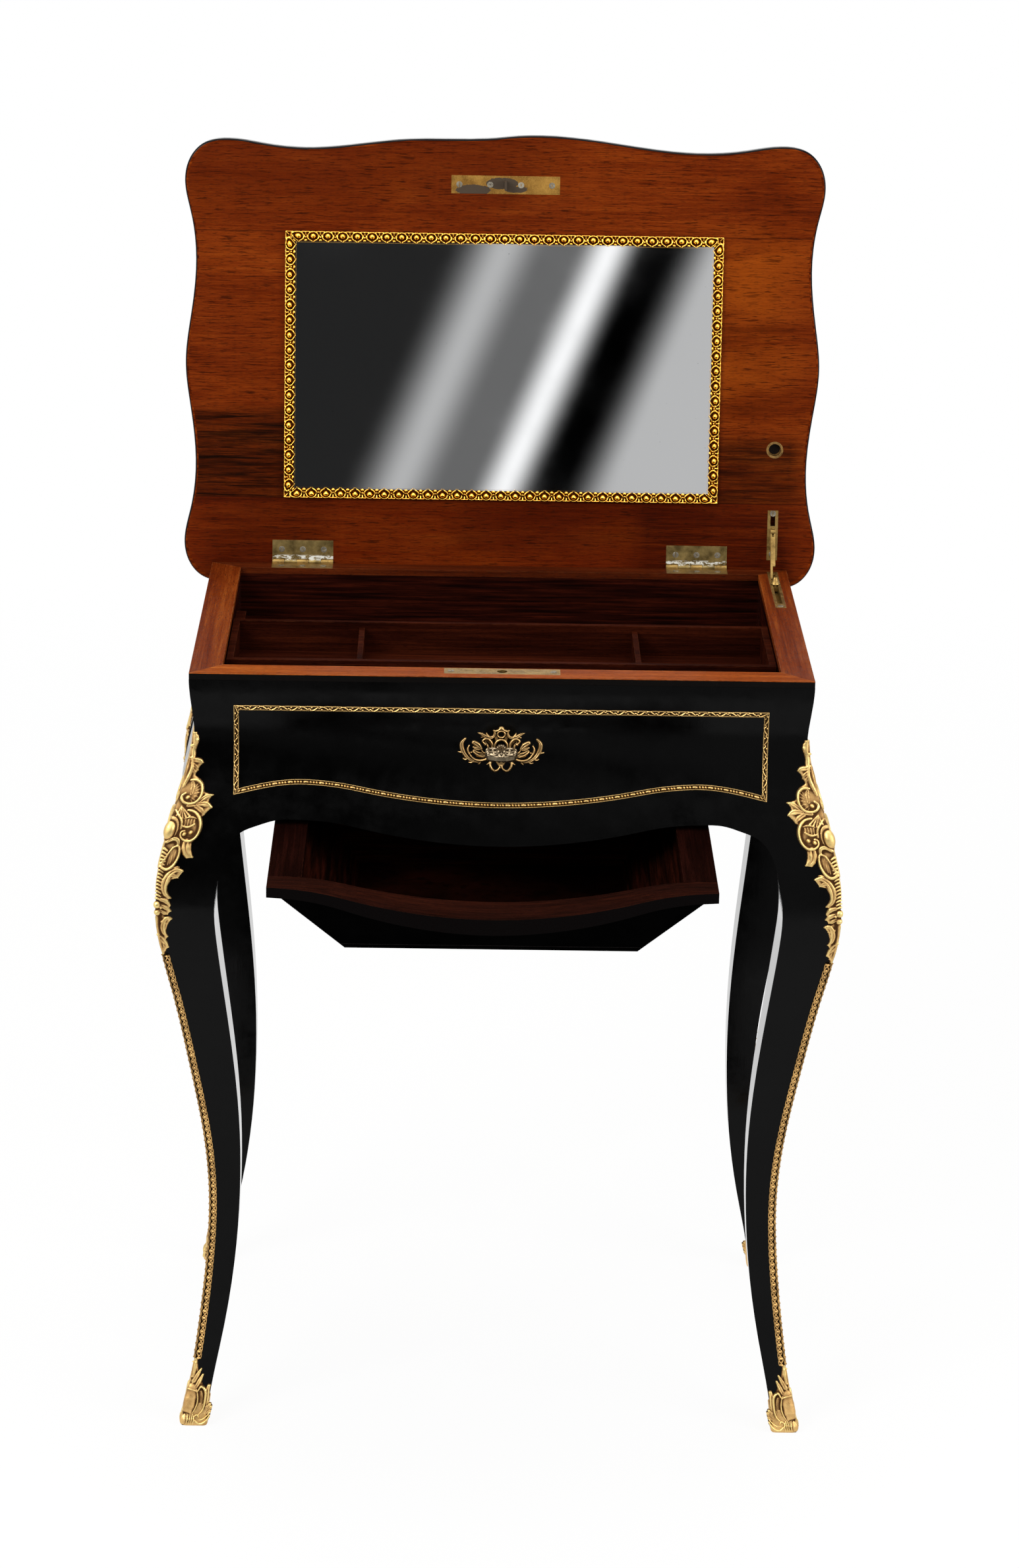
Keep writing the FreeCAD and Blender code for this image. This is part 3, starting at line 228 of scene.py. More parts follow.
def wood(name, tones, axis, pore, pore_share, worn, specular, black_sides=False, black_front=False):
    """Open-grained wood. tones run from dark to light; worn is the colour of rubbed corners."""
    paint = Paint(name)
    figure = 26.0
    cloud = paint.noise(along(axis, figure * 9, figure), 3, 0.6, 0.6)
    streak = paint.noise(along(axis, figure * 5, figure / 8), 4, 0.6, 0.4)
    fibre = paint.noise(along(axis, 14.0, 0.45), 2, 0.6)
    tone = paint.scaled(streak, 0.45, paint.scaled(fibre, 0.2, paint.times(cloud, 0.35)))
    dark, middle, light = tones
    colour = paint.ramp(tone, (0.36, dark), (0.5, middle), (0.64, light))
    pores = paint.ramp(paint.noise(along(axis, 6.0, 0.38), 1, 0.5), (0.6, 0.0), (0.68, 1.0))
    colour = paint.mix(paint.times(pores, pore_share), colour, pore)
    patchy = paint.ramp(paint.noise(9.0, 3), (0.42, 0.0), (0.6, 0.8))
    colour = paint.mix(paint.times(paint.edge(1.0, 0.02, 0.25), patchy), colour, worn)
    if black_sides:
        out = paint.most(paint.above(paint.math("ABSOLUTE", paint.x), half_width - edge_slip),
                         paint.above(paint.math("ABSOLUTE", paint.y), half_depth - edge_slip))
        colour = paint.mix(paint.times(out, paint.below(paint.z, rim_upper_edge)), colour, (12, 10, 9))
    if black_front:
        least_forward = 0.25
        colour = paint.mix(paint.below(paint.facing()[1], -least_forward), colour, (8, 6, 6))
    smear = paint.noise(30.0, 4, 0.6)
    rough = paint.ramp(paint.scaled(fibre, 0.3, paint.times(smear, 0.7)), (0.35, 0.35), (0.65, 0.55))
    sunk = paint.minus(paint.times(fibre, 0.4), pores)
    return paint.finish(colour, rough, [(sunk, 0.12)], 0.5, Specular_IOR_Level=specular)


def ebonised(name, bare_share, bare=((16, 4, 3), (36, 10, 5), (58, 19, 9)), soft=0.0, edge_wear_and_highlight=0.0,
             specular=0.1, roughness=(0.1, 0.24), glossy_share=None):
    """Black polish over wood. bare_share says where the wood is bare, and bare holds its colours."""
    paint = Paint(name)
    fibre = paint.noise((0.5, 0.5, 16.0), 2, 0.6)
    cloud = paint.noise(60.0, 4, 0.6)
    tone = paint.scaled(fibre, 0.4, paint.times(cloud, 0.6))
    colour = paint.ramp(tone, (0.35, (1, 1, 1)), (0.68, (4, 4, 4)))
    # Pale corners: partly rubbed polish, partly a painted highlight line along the edges.
    if edge_wear_and_highlight:
        patchy = paint.ramp(paint.noise(14.0, 4, 0.6), (0.4, 0.2), (0.64, edge_wear_and_highlight))
        colour = paint.mix(paint.times(paint.edge(0.8, 0.04, 0.3), patchy), colour, (92, 84, 84))
    rough = paint.ramp(paint.noise(24.0, 4, 0.65), (0.34, roughness[0]), (0.66, roughness[1]))
    share = bare_share(paint)
    grain = paint.noise((90.0, 90.0, 3.0), 4, 0.6)
    flecks = paint.ramp(paint.noise((12.0, 12.0, 0.6), 2, 0.5), (0.56, 0.0), (0.66, 0.6))
    wood_tone = paint.ramp(grain, (0.36, bare[0]), (0.52, bare[1]), (0.68, bare[2]))
    colour = paint.mix(share, colour, paint.mix(flecks, wood_tone, bare[0]))
    rough = paint.most(rough, paint.times(share, 0.62))
    specular = paint.scaled(share, -specular, specular)
    if glossy_share:
        glossy = glossy_share(paint)
        rough = paint.times(rough, paint.scaled(glossy, -0.7, 1.0))
        specular = paint.scaled(glossy, 0.9, specular)
    waves = paint.noise((5.0, 5.0, 70.0), 2, 0.5)
    return paint.finish(colour, rough, [(fibre, 0.015), (waves, 0.03)], soft, Specular_IOR_Level=specular)


def case_inside(paint):
    """1 inside the case, over its floor."""
    side, front, back, floor, soft = 246.3, -160.4, 169.9, 599.5, 0.1
    within = paint.times(paint.band(paint.x, -side, side, soft), paint.band(paint.y, front, back, soft))
    return paint.times(within, paint.above(paint.z, floor))


def lid_inner_side(paint):
    """1 on the lid's inner face, with which the open lid looks forward."""
    least_forward = 0.93
    return paint.below(paint.facing()[1], -least_forward)


def leg_inner_side(paint):
    """1 on the legs' side faces that look to the middle of the table."""
    leg_distance, share_facing_in = 260.0, 0.5
    return paint.below(paint.times(paint.facing()[0], paint.x), -leg_distance * share_facing_in)


def bin_inside(paint):
    """1 on the bin's inner and upper faces."""
    low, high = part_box("bin_bottom")
    middle = (low.y + high.y) / 2 / MM
    nx, ny, nz = paint.facing()
    outward = paint.plus(paint.times(nx, paint.x), paint.times(ny, paint.minus(paint.y, middle)))
    least_inward, least_upward = 20.0, 0.75
    return paint.most(paint.below(outward, -least_inward), paint.above(nz, least_upward))


def veneer():
    """Three strips of mahogany veneer, grain across, with dark flecks, and stains low down."""
    paint = Paint("mahogany_veneer")
    low, high = veneer_seams
    step = paint.plus(paint.above(paint.z, low), paint.above(paint.z, high))
    turned = paint.add("ShaderNodeCombineXYZ")
    paint.feed(turned.inputs[0], paint.scaled(step, 137.0, paint.x))
    paint.feed(turned.inputs[2], paint.scaled(step, 41.0, paint.z))
    place = turned.outputs[0]
    cloud = paint.noise((200.0, 1.0, 48.0), 3, 0.6, 0.8, place=place)
    streak = paint.noise((110.0, 1.0, 2.6), 5, 0.66, 0.5, place=place)
    fibre = paint.noise((18.0, 1.0, 0.8), 3, 0.65, place=place)
    tone = paint.scaled(streak, 0.32, paint.scaled(fibre, 0.28, paint.times(cloud, 0.4)))
    colour = paint.ramp(tone, (0.34, (60, 16, 2)), (0.45, (92, 30, 4)), (0.54, (110, 42, 7)),
                        (0.68, (134, 60, 13)))

    def patch(x0, x1, z0, z1, soft):
        return paint.times(paint.band(paint.x, x0, x1, soft), paint.band(paint.z, z0, z1, soft * 0.6))

    drift = paint.noise((150.0, 1.0, 13.0), 4, 0.62, 1.2, shift=(3.7, 0, 1.3))
    stain = paint.ramp(drift, (0.34, 0.45), (0.5, 1.0))
    stains = ((-310, -150, 768, 872, 22, 1.0), (170, 300, 770, 852, 26, 0.85),
              (110, 300, 690, 790, 30, 1.0), (-300, -150, 690, 790, 30, 0.7), (-60, 170, 725, 788, 30, 0.5))
    where = 0.0
    for *area, strength in stains:
        where = paint.most(where, paint.times(patch(*area), strength))
    threads = paint.noise((60.0, 1.0, 2.2), 4, 0.6, 0.6, shift=(1.1, 0, 5.2))
    thin = paint.ramp(threads, (0.4, 0.6), (0.6, 1.0))
    colour = paint.mix(paint.times(paint.times(stain, thin), where), colour, (20, 6, 2))
    red = paint.times(paint.below(paint.z, low), 0.4)
    colour = paint.mix(red, colour, (84, 20, 2))
    bright = paint.times(patch(150, 300, 850, 1050, 60), paint.ramp(cloud, (0.35, 0.1), (0.6, 0.5)))
    colour = paint.mix(bright, colour, (146, 68, 12))
    dull = paint.times(patch(-360, 80, 1034, 1180, 60), 0.5)
    colour = paint.mix(dull, colour, (78, 24, 4))
    flecks = paint.ramp(paint.noise((19.0, 1.0, 1.3), 3, 0.6, place=place), (0.54, 0.0), (0.62, 1.0))
    dense = paint.ramp(paint.noise((70.0, 1.0, 24.0), 3, 0.6, shift=(8, 0, 2)), (0.36, 0.35), (0.6, 0.85))
    colour = paint.mix(paint.times(flecks, dense), colour, (42, 11, 2))
    pores = paint.ramp(paint.noise((6.0, 1.0, 0.45), 1, 0.5, place=place), (0.6, 0.0), (0.68, 1.0))
    colour = paint.mix(paint.times(pores, 0.55), colour, (30, 8, 2))
    seams = paint.plus(paint.band(paint.z, low - 0.5, low + 0.5, 0.3),
                       paint.band(paint.z, high - 0.5, high + 0.5, 0.3))
    colour = paint.mix(paint.times(seams, 0.7), colour, (30, 8, 2))
    rough = paint.ramp(paint.noise(40.0, 4, 0.65), (0.34, 0.3), (0.66, 0.52))
    sunk = paint.minus(paint.times(fibre, 0.3), paint.plus(pores, seams))
    return paint.finish(colour, rough, [(sunk, 0.06)], Specular_IOR_Level=0.02)


def metal(name, light, dark, roughness, patina_and_shade, share, hollow=False):
    """Metal with a mottled tone and dark stains. Where the mesh says how deep each place lies, painted
    shade with some dirt darkens the hollows and a painted highlight lightens the raised parts.
    """
    paint = Paint(name)
    spot = 5.0
    cloud = paint.noise(spot * 3, 4, 0.65)
    speck = paint.noise(0.7, 3, 0.6)
    colour = paint.ramp(paint.scaled(cloud, 0.7, paint.times(speck, 0.3)), (0.36, dark), (0.62, light))
    stain_and_shade = paint.ramp(paint.noise(spot, 5, 0.7, shift=(5, 1, 3)), (0.5, 0.0), (0.7, 1.0))
    stain_and_shade = paint.times(stain_and_shade, share)
    rough = paint.ramp(paint.noise(spot * 0.8, 4, 0.6), (0.35, roughness[0]), (0.65, roughness[1]))
    # Painted shade: the mesh's depth values darken the hollows with the dark colour, partly as dirt, and
    # roughen them.
    if hollow:
        deep = paint.add("ShaderNodeAttribute", attribute_name="hollow").outputs["Fac"]
        crevice_dirt_and_shade = paint.ramp(deep, (0.36, 1.0), (0.56, 0.0))
        stain_and_shade = paint.most(stain_and_shade, crevice_dirt_and_shade)
        # Painted highlight: raised parts are lighter in colour; they are also smoother, as burnished.
        burnish_and_highlight = paint.ramp(deep, (0.5, 0.0), (0.85, 1.0))
        colour = paint.mix(paint.times(burnish_and_highlight, 0.6), colour, tuple(min(255, int(c * 1.22)) for c in light))
        rough = paint.minus(rough, paint.times(burnish_and_highlight, 0.1))
    colour = paint.mix(stain_and_shade, colour, patina_and_shade)
    rough = paint.scaled(stain_and_shade, 0.3, rough, clamp=True)
    return paint.finish(colour, rough, [(speck, 0.05)], 0.25, Metallic=1.0)


def struck_brass():
    """Brass of the strike plate, whose lacquer is worn to a dull patch about the staple."""
    paint = Paint("strike_plate_brass")
    middle = 1079.0
    cloud = paint.noise(14.0, 4, 0.65)
    speck = paint.noise(0.8, 3, 0.6)
    colour = paint.ramp(paint.scaled(cloud, 0.6, paint.times(speck, 0.4)), (0.36, (118, 82, 30)),
                        (0.62, (178, 134, 62)))

    def oval(x, z, wide, tall):
        across = paint.ratio(paint.minus(paint.x, x), wide)
        up = paint.ratio(paint.minus(paint.z, middle + z), tall)
        return paint.plus(paint.times(across, across), paint.times(up, up))

    near = paint.least(oval(-30, -5, 16, 5), paint.least(oval(-3, 1.5, 15, 5.4), oval(10, -4, 11, 3)))
    ragged = paint.scaled(paint.noise(5.0, 4, 0.7), 1.6, near)
    worn = paint.ramp(paint.ratio(ragged, 3.6), (0.49, 1.0), (0.52, 0.0))
    colour = paint.mix(worn, colour, (74, 62, 50))
    rough = paint.scaled(worn, 0.3, 0.4)
    return paint.finish(colour, rough, [(speck, 0.08)], 0.25, Metallic=0.8)


def filled_brass():
    """Brass of the hinges on the lid, with remains of pale filler beside the knuckles."""
    paint = Paint("hinge_leaf_brass")
    cloud = paint.noise(12.0, 4, 0.65)
    colour = paint.ramp(cloud, (0.36, (92, 76, 42)), (0.64, (150, 128, 78)))
    ragged = paint.ramp(paint.noise((7.0, 7.0, 2.5), 4, 0.7), (0.48, 0.0), (0.54, 1.0))
    knuckle_top, filler_top = 722.0, 727.5
    filler = paint.times(ragged, paint.band(paint.z, knuckle_top, filler_top, 1.5))
    colour = paint.mix(filler, colour, (206, 206, 198))
    metallic = paint.scaled(filler, -0.9, 0.9)
    return paint.finish(colour, 0.45, [(cloud, 0.05)], 0.25, Metallic=metallic)


def cup_brass():
    """Brass of the knob cup, with painted shade in the hollow inside its flange."""
    paint = Paint("knob_cup_brass")
    low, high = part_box("knob_cup")
    middle = (low + high) / 2 / MM
    away = paint.length(paint.minus(paint.x, middle.x), paint.minus(paint.z, middle.z))
    cloud = paint.noise(4.0, 4, 0.6)
    brass = paint.ramp(cloud, (0.36, (92, 68, 34)), (0.64, (146, 112, 62)))
    shaded_bore_radius = 5.6
    # Painted shade: the hollow inside the flange is coloured near black.
    colour = paint.mix(paint.below(away, shaded_bore_radius), brass, (22, 13, 7))
    return paint.finish(colour, 0.5, [(cloud, 0.05)], 0.25, Metallic=0.8)


def mirror():
    """Silvered glass, a little uneven, with tiny specks of lost silver."""
    paint = Paint("silvered_glass")
    specks = paint.ramp(paint.noise(1.6, 2, 0.5, shift=(2, 4, 1)), (0.76, 0.0), (0.8, 1.0))
    colour = paint.mix(specks, (250, 251, 252), (110, 108, 104))
    rough = paint.ramp(paint.noise(60.0, 3, 0.6), (0.3, 0.015), (0.7, 0.04))
    return paint.finish(colour, rough, Metallic=1.0)


worn_rim = (170, 112, 66)
# Metals: light and dark tones, roughness, the dark colour of stains and of painted shade, and its share;
# True adds painted shade in the hollows and a painted highlight on raised parts.
finishes = {name: metal(name, *look) for name, *look in (
    ("gilt_bronze", (226, 182, 108), (176, 130, 68), (0.34, 0.5), (70, 46, 22), 0.35),
    ("mirror_gilt", (250, 190, 86), (206, 136, 44), (0.2, 0.34), (96, 54, 14), 0.2),
    ("aged_brass", (172, 142, 84), (118, 92, 50), (0.34, 0.52), (56, 42, 26), 0.5),
    ("screw_steel", (176, 168, 150), (112, 104, 90), (0.34, 0.5), (50, 40, 32), 0.5),
    ("key_steel", (152, 138, 114), (98, 84, 64), (0.34, 0.48), (46, 36, 26), 0.5),
    ("gilt_bronze_cast", (236, 194, 128), (188, 144, 88), (0.42, 0.56), (84, 56, 32), 0.25, True),
    ("gilt_bronze_dull", (220, 180, 116), (152, 116, 70), (0.32, 0.46), (32, 20, 10), 0.3, True),
    ("gilt_bronze_escutcheon", (204, 168, 112), (132, 102, 64), (0.34, 0.48), (26, 17, 9), 0.35, True),
    ("gilt_bronze_strip", (206, 164, 102), (126, 94, 56), (0.32, 0.46), (18, 11, 6), 0.4, True),
    ("mirror_gilt_cast", (255, 190, 84), (222, 138, 40), (0.16, 0.28), (60, 24, 4), 0.1, True),
    ("key_steel_chased", (168, 150, 122), (106, 90, 68), (0.34, 0.48), (30, 22, 15), 0.4, True),
)}
finishes.update((name, wood(name, *look)) for name, *look in (
    ("mahogany_rim", ((98, 38, 5), (136, 62, 14), (166, 90, 32)), "x", (42, 15, 4), 0.7, worn_rim, 0.03,
     True),
    ("mahogany_rim_side", ((74, 22, 3), (102, 40, 8), (132, 66, 22)), "y", (34, 11, 3), 0.7, worn_rim, 0.03,
     True),
    # The back board's darker tones are painted shade from the open lid over it.
    ("mahogany_rim_back", ((46, 13, 3), (72, 25, 6), (94, 38, 12)), "x", (24, 7, 2), 0.7, (104, 58, 28),
     0.03, True),
    ("dark_mahogany", ((20, 4, 2), (40, 12, 5), (64, 24, 10)), "x", (8, 2, 1), 0.5, (84, 44, 24), 0.005),
    ("dark_mahogany_rail", ((9, 2, 1), (19, 5, 3), (34, 11, 7)), "y", (5, 1, 1), 0.4, (60, 30, 20), 0.005),
    ("dark_mahogany_lip", ((14, 4, 2), (29, 9, 5), (46, 17, 8)), "x", (7, 2, 1), 0.5, (74, 38, 24), 0.01,
     False, True),
))
finishes["mahogany_veneer"] = veneer()
finishes["silvered_glass"] = mirror()
finishes["ebonised_wood"] = ebonised("ebonised_wood", case_inside)
leg_black = ebonised("ebonised_leg", case_inside, glossy_share=leg_inner_side)
lid_black = ebonised("ebonised_lid", lid_inner_side, ((64, 18, 3), (98, 34, 6), (124, 52, 12)), 0.8, 0.3)
bin_black = ebonised("ebonised_bin", bin_inside, ((10, 3, 2), (26, 8, 4), (44, 15, 8)), 0.5, 0.3, 0.0,
                     (0.3, 0.45))


def slot_of(name):
    """The slot that the record gives to a node, by its name."""
    starts = {
        "mahogany_veneer": ("lid_veneer",),
        "mahogany_rim": ("rim_",),
        "silvered_glass": ("mirror_glass",),
        "mirror_gilt": ("mirror_frame",),
        "key_steel": ("key",),
        "screw_steel": ("case_screws", "lid_screws", "hinge_pins", "lock_bolt"),
        "gilt_bronze": ("knee_mount", "leg_strips", "sabot", "moulding", "escutcheon"),
        "dark_mahogany": ("case_floor", "tray", "bin_lip", "bin_rails", "bin_runners"),
        "ebonised_wood": ("leg_", "case_", "lid_panel", "bin_"),
    }
    for slot, heads in starts.items():
        if name.startswith(heads):
            return slot
    return "aged_brass"


special = {
    "rim_left": finishes["mahogany_rim_side"], "rim_right": finishes["mahogany_rim_side"],
    "rim_back": finishes["mahogany_rim_back"], "bin_rails": finishes["dark_mahogany_rail"],
    "bin_lip": finishes["dark_mahogany_lip"], "lid_panel": lid_black, "strike_plate": struck_brass(),
    "hinge_lid_leaves": filled_brass(), "knob_cup": cup_brass(),
}
for name, node in nodes.items():
    usual = finishes[slot_of(name)]
    if name.startswith("leg_") and name != "leg_strips":
        usual = leg_black
    elif name.startswith(("bin_bottom", "bin_wall")):
        usual = bin_black
    node.data.materials.clear()
    node.data.materials.append(special.get(name, usual))


# Surfaces that the mounts lie on


def arris_line(pick):
    """Height and swell along the outermost or innermost arris of a leg, from its mesh."""
    spots = np.array([v.co for v in nodes["leg_front_right"].data.vertices]) / MM
    on_arris, neighbourhood, spread = 0.05, 20.0, 10.0
    across, back = spots[:, 0] - half_width, -spots[:, 1] - half_depth
    spots = spots[np.abs(across - back) < on_arris]
    height, out = spots[:, 2], spots[:, 0] - half_width
    near = np.abs(height[:, None] - height[None, :]) < neighbourhood
    best = np.array([pick(out[row]) for row in near])
    kept = np.abs(out - best) < spread
    order = np.argsort(height[kept])
    return height[kept][order], out[kept][order]


outer_line = arris_line(np.max)
inner_line = arris_line(np.min)


def swell(z):
    """How far the outside stands past the top edge at a height."""
    return np.interp(z, *outer_line)


def tilt(z):
    """Slope of the outside at a height."""
    reach = 8.0
    return (swell(z + reach) - swell(z - reach)) / (2 * reach)


def ease(share):
    """Smooth step from 0 to 1."""
    share = np.clip(share, 0.0, 1.0)
    return share * share * (3 - 2 * share)


def unit(vectors):
    """The vectors at length 1."""
    return vectors / np.linalg.norm(vectors, axis=-1, keepdims=True)


def corner(sides):
    """Surface round a leg's arris: s is the distance from it, positive on the side face."""
    right, back = sides
    turn = 4.0

    def surface(s, z):
        out, slope, level = swell(z), -tilt(z), np.zeros_like(z)
        x = right * (half_width + out - np.maximum(-s, 0))
        y = back * (half_depth + out - np.maximum(s, 0))
        on_front = unit(np.stack([level, level + back, slope], -1))
        on_side = unit(np.stack([level + right, level, slope], -1))
        share = ease((s + turn) / (2 * turn))[..., None]
        return np.stack([x, y, z], -1), unit(on_front * (1 - share) + on_side * share)

    return surface


def face(axis, sign):
    """Surface of the case across an axis, "x" or "y": s runs along it."""

    def surface(s, z):
        out, slope, level = swell(z), -tilt(z), np.zeros_like(z)
        if axis == "y":
            spots, ways = [s, sign * (half_depth + out), z], [level, level + sign, slope]
        else:
            spots, ways = [sign * (half_width + out), s, z], [level + sign, level, slope]
        return np.stack(spots, -1), unit(np.stack(ways, -1))

    return surface


def plane(axis, at, sign):
    """Flat surface, upright across "y" or level across "z"."""

    def surface(s, t):
        level = np.zeros_like(s)
        if axis == "y":
            return np.stack([s, level + at, t], -1), np.stack([level, level + sign, level], -1)
        return np.stack([s, t, level + at], -1), np.stack([level, level, level + sign], -1)

    return surface


hinge_place = Vector(joints["lid_hinge"]["pos_m"]) / MM
lid_angle = math.radians(lid_opening)
lid_up = np.array([0, -math.cos(lid_angle), math.sin(lid_angle)])
lid_out = np.array([0, -math.sin(lid_angle), -math.cos(lid_angle)])
X, Y, Z = np.eye(3)


def lid_surface(u, v):
    """Inner face of the open lid: u runs across it, v up from the hinge."""
    axis_over_face = 0.5
    start = np.array([0, hinge_place.y, hinge_place.z]) - axis_over_face * lid_out
    places = start + u[..., None] * X + v[..., None] * lid_up
    return places, np.broadcast_to(lid_out, places.shape)


# Relief: heights on a grid


def curve(points, step):
    """Points at even steps on a smooth curve through the given ones, and the share along it."""
    points = np.array(points, float)
    gaps = np.linalg.norm(np.diff(points, axis=0), axis=1)
    at = np.concatenate([[0], np.cumsum(gaps)])
    bends = np.zeros_like(points)
    if len(points) > 2:
        system = np.diag(2 * (gaps[:-1] + gaps[1:])) + np.diag(gaps[1:-1], 1) + np.diag(gaps[1:-1], -1)
        slopes = np.diff(points, axis=0) / gaps[:, None]
        bends[1:-1] = np.linalg.solve(system, 6 * np.diff(slopes, axis=0))
    share = np.linspace(0, 1, max(2, int(at[-1] / step) + 1))
    spot = share * at[-1]
    k = np.clip(np.searchsorted(at, spot, "right") - 1, 0, len(gaps) - 1)
    gap = gaps[k][:, None]
    a, b = (at[k + 1] - spot)[:, None] / gap, (spot - at[k])[:, None] / gap
    bent = (a**3 - a) * bends[k] + (b**3 - b) * bends[k + 1]
    return a * points[k] + b * points[k + 1] + bent * gap * gap / 6, share


def level(q, kind):
    """Height across a stroke or dome, by distance from its middle as a share of its half width."""
    q = np.clip(q, 0, 1)
    round_top = np.sqrt(1 - q * q)
    if kind == "leaf":
        return round_top * (0.68 + 0.32 * ease(q / 0.45))
    if kind == "ridge":
        return 0.45 * round_top + 0.55 * (1 - q)
    if kind == "dish":
        return np.where(q < 0.8, 0.35 + 0.65 * ease(q / 0.8), 1.0) * np.minimum(1, (1 - q) / 0.12)
    if kind == "plate":
        return np.minimum(1, (1 - q) / 0.25) ** 0.6
    return round_top


class Relief:
    """Heights in mm on a grid: u across, v along."""

    floor = -0.6
    skirt = 1.2

    def __init__(self, us, vs, step):
        self.step = step
        self.us = np.linspace(*us, int(round((us[1] - us[0]) / step)) + 1)
        self.vs = np.linspace(*vs, int(round((vs[1] - vs[0]) / step)) + 1)
        self.heights = np.full((len(self.vs), len(self.us)), self.floor)

    def window(self, low, high):
        """Rows and columns between two corners, and the places in them."""
        rows = slice(*np.searchsorted(self.vs, (low[1], high[1])))
        columns = slice(*np.searchsorted(self.us, (low[0], high[0])))
        u, v = np.meshgrid(self.us[columns], self.vs[rows])
        return rows, columns, u, v

    def raise_to(self, rows, columns, heights):
        part = self.heights[rows, columns]
        np.maximum(part, heights, out=part)

    def stroke(self, points, widths, heights, kind="round"):
        """A raised line; widths are half widths, and both lists run along it."""
        line, share = curve(points, self.step / 2)
        widths, heights = np.atleast_1d(widths), np.atleast_1d(heights)
        half = np.interp(share, np.linspace(0, 1, len(widths)), widths)
        tall = np.interp(share, np.linspace(0, 1, len(heights)), heights)
        reach = half.max() + self.skirt
        rows, columns, u, v = self.window(line.min(0) - reach, line.max(0) + reach)
        if not u.size:
            return
        nearest = np.full(u.shape, 1e9)
        top = np.zeros(u.shape)
        wide = np.ones(u.shape)
        for (pu, pv), w, h in zip(line, half, tall):
            q = np.hypot(u - pu, v - pv) / max(w, 0.05)
            closer = q < nearest
            nearest = np.where(closer, q, nearest)
            top = np.where(closer, h, top)
            wide = np.where(closer, w, wide)
        inside = top * level(nearest, kind)
        outside = np.maximum(self.floor, (1 - nearest) * wide * 1.5)
        self.raise_to(rows, columns, np.where(nearest < 1, inside, outside))

    leaf = partialmethod(stroke, kind="leaf")
    ridge = partialmethod(stroke, kind="ridge")
    dish = partialmethod(stroke, kind="dish")
    plate = partialmethod(stroke, kind="plate")

    def sheet(self, outline, height):
        """A flat plate inside an outline, with bevelled edges."""
        points = np.array(outline, float)
        rows, columns, u, v = self.window(points.min(0) - self.skirt, points.max(0) + self.skirt)
        inside = np.zeros(u.shape, bool)
        away = np.full(u.shape, 1e9)
        for (au, av), (bu, bv) in zip(points, np.roll(points, -1, 0)):
            du, dv = bu - au, bv - av
            if dv:
                inside ^= ((av > v) != (bv > v)) & (u < du * (v - av) / dv + au)
            t = np.clip(((u - au) * du + (v - av) * dv) / (du * du + dv * dv), 0, 1)
            away = np.minimum(away, np.hypot(u - au - t * du, v - av - t * dv))
        outside = np.maximum(self.floor, -1.5 * away)
        self.raise_to(rows, columns, np.where(inside, np.minimum(height, 3 * away), outside))

    def dome(self, centre, radii, height, kind="round"):
        """A raised oval."""
        reach = max(radii) + self.skirt
        centre = np.array(centre, float)
        rows, columns, u, v = self.window(centre - reach, centre + reach)
        if not u.size:
            return
        q = np.hypot((u - centre[0]) / radii[0], (v - centre[1]) / radii[1])
        outside = np.maximum(self.floor, (1 - q) * min(radii) * 1.5)
        self.raise_to(rows, columns, np.where(q < 1, height * level(q, kind), outside))

    def arc(self, centre, radii, start, end, widths, heights):
        """A stroke along part of an oval, by angles in degrees."""
        angles = np.radians(np.linspace(start, end, 13))
        spokes = np.stack([np.cos(angles), np.sin(angles)], -1)
        self.stroke(centre + radii * spokes, widths, heights)

    def hollows(self, radius):
        """0 to 1: how the height compares with the mean height around."""
        top = np.maximum(self.heights, 0)
        reach = max(1, int(radius / self.step))
        mean = top
        for axis in (0, 1, 0, 1):
            padded = np.pad(mean, [(reach, reach) if a == axis else (0, 0) for a in (0, 1)], mode="edge")
            total = np.cumsum(padded, axis=axis)
            total = np.insert(total, 0, 0, axis=axis)
            size = 2 * reach + 1
            count = mean.shape[axis]
            ahead, behind = (np.take(total, range(first, first + count), axis) for first in (size, 0))
            mean = (ahead - behind) / size
        return np.clip(0.5 + (top - mean) / 2.4, 0, 1)


def stand(name, data):
    """New object in the scene."""
    thing = bpy.data.objects.new(name, data)
    bpy.context.scene.collection.objects.link(thing)
    return thing


def make_mesh(name, spots, quads, hollow):
    """Mesh object from places in mm, corner numbers and how far into the hollows each place is, which
    paints shade and highlight on metal.
    """
    mesh = bpy.data.meshes.new(name)
    mesh.vertices.add(len(spots))
    mesh.vertices.foreach_set("co", (spots * MM).astype(np.float32).ravel())
    mesh.loops.add(quads.size)
    mesh.loops.foreach_set("vertex_index", quads.astype(np.int32).ravel())
    mesh.polygons.add(len(quads))
    mesh.polygons.foreach_set("loop_start", np.arange(0, quads.size, quads.shape[1], dtype=np.int32))
    mesh.attributes.new("hollow", "FLOAT", "POINT").data.foreach_set("value", hollow.astype(np.float32))
    mesh.update(calc_edges=True)
    mesh.validate()
    mesh.shade_smooth()
    return stand(name, mesh)


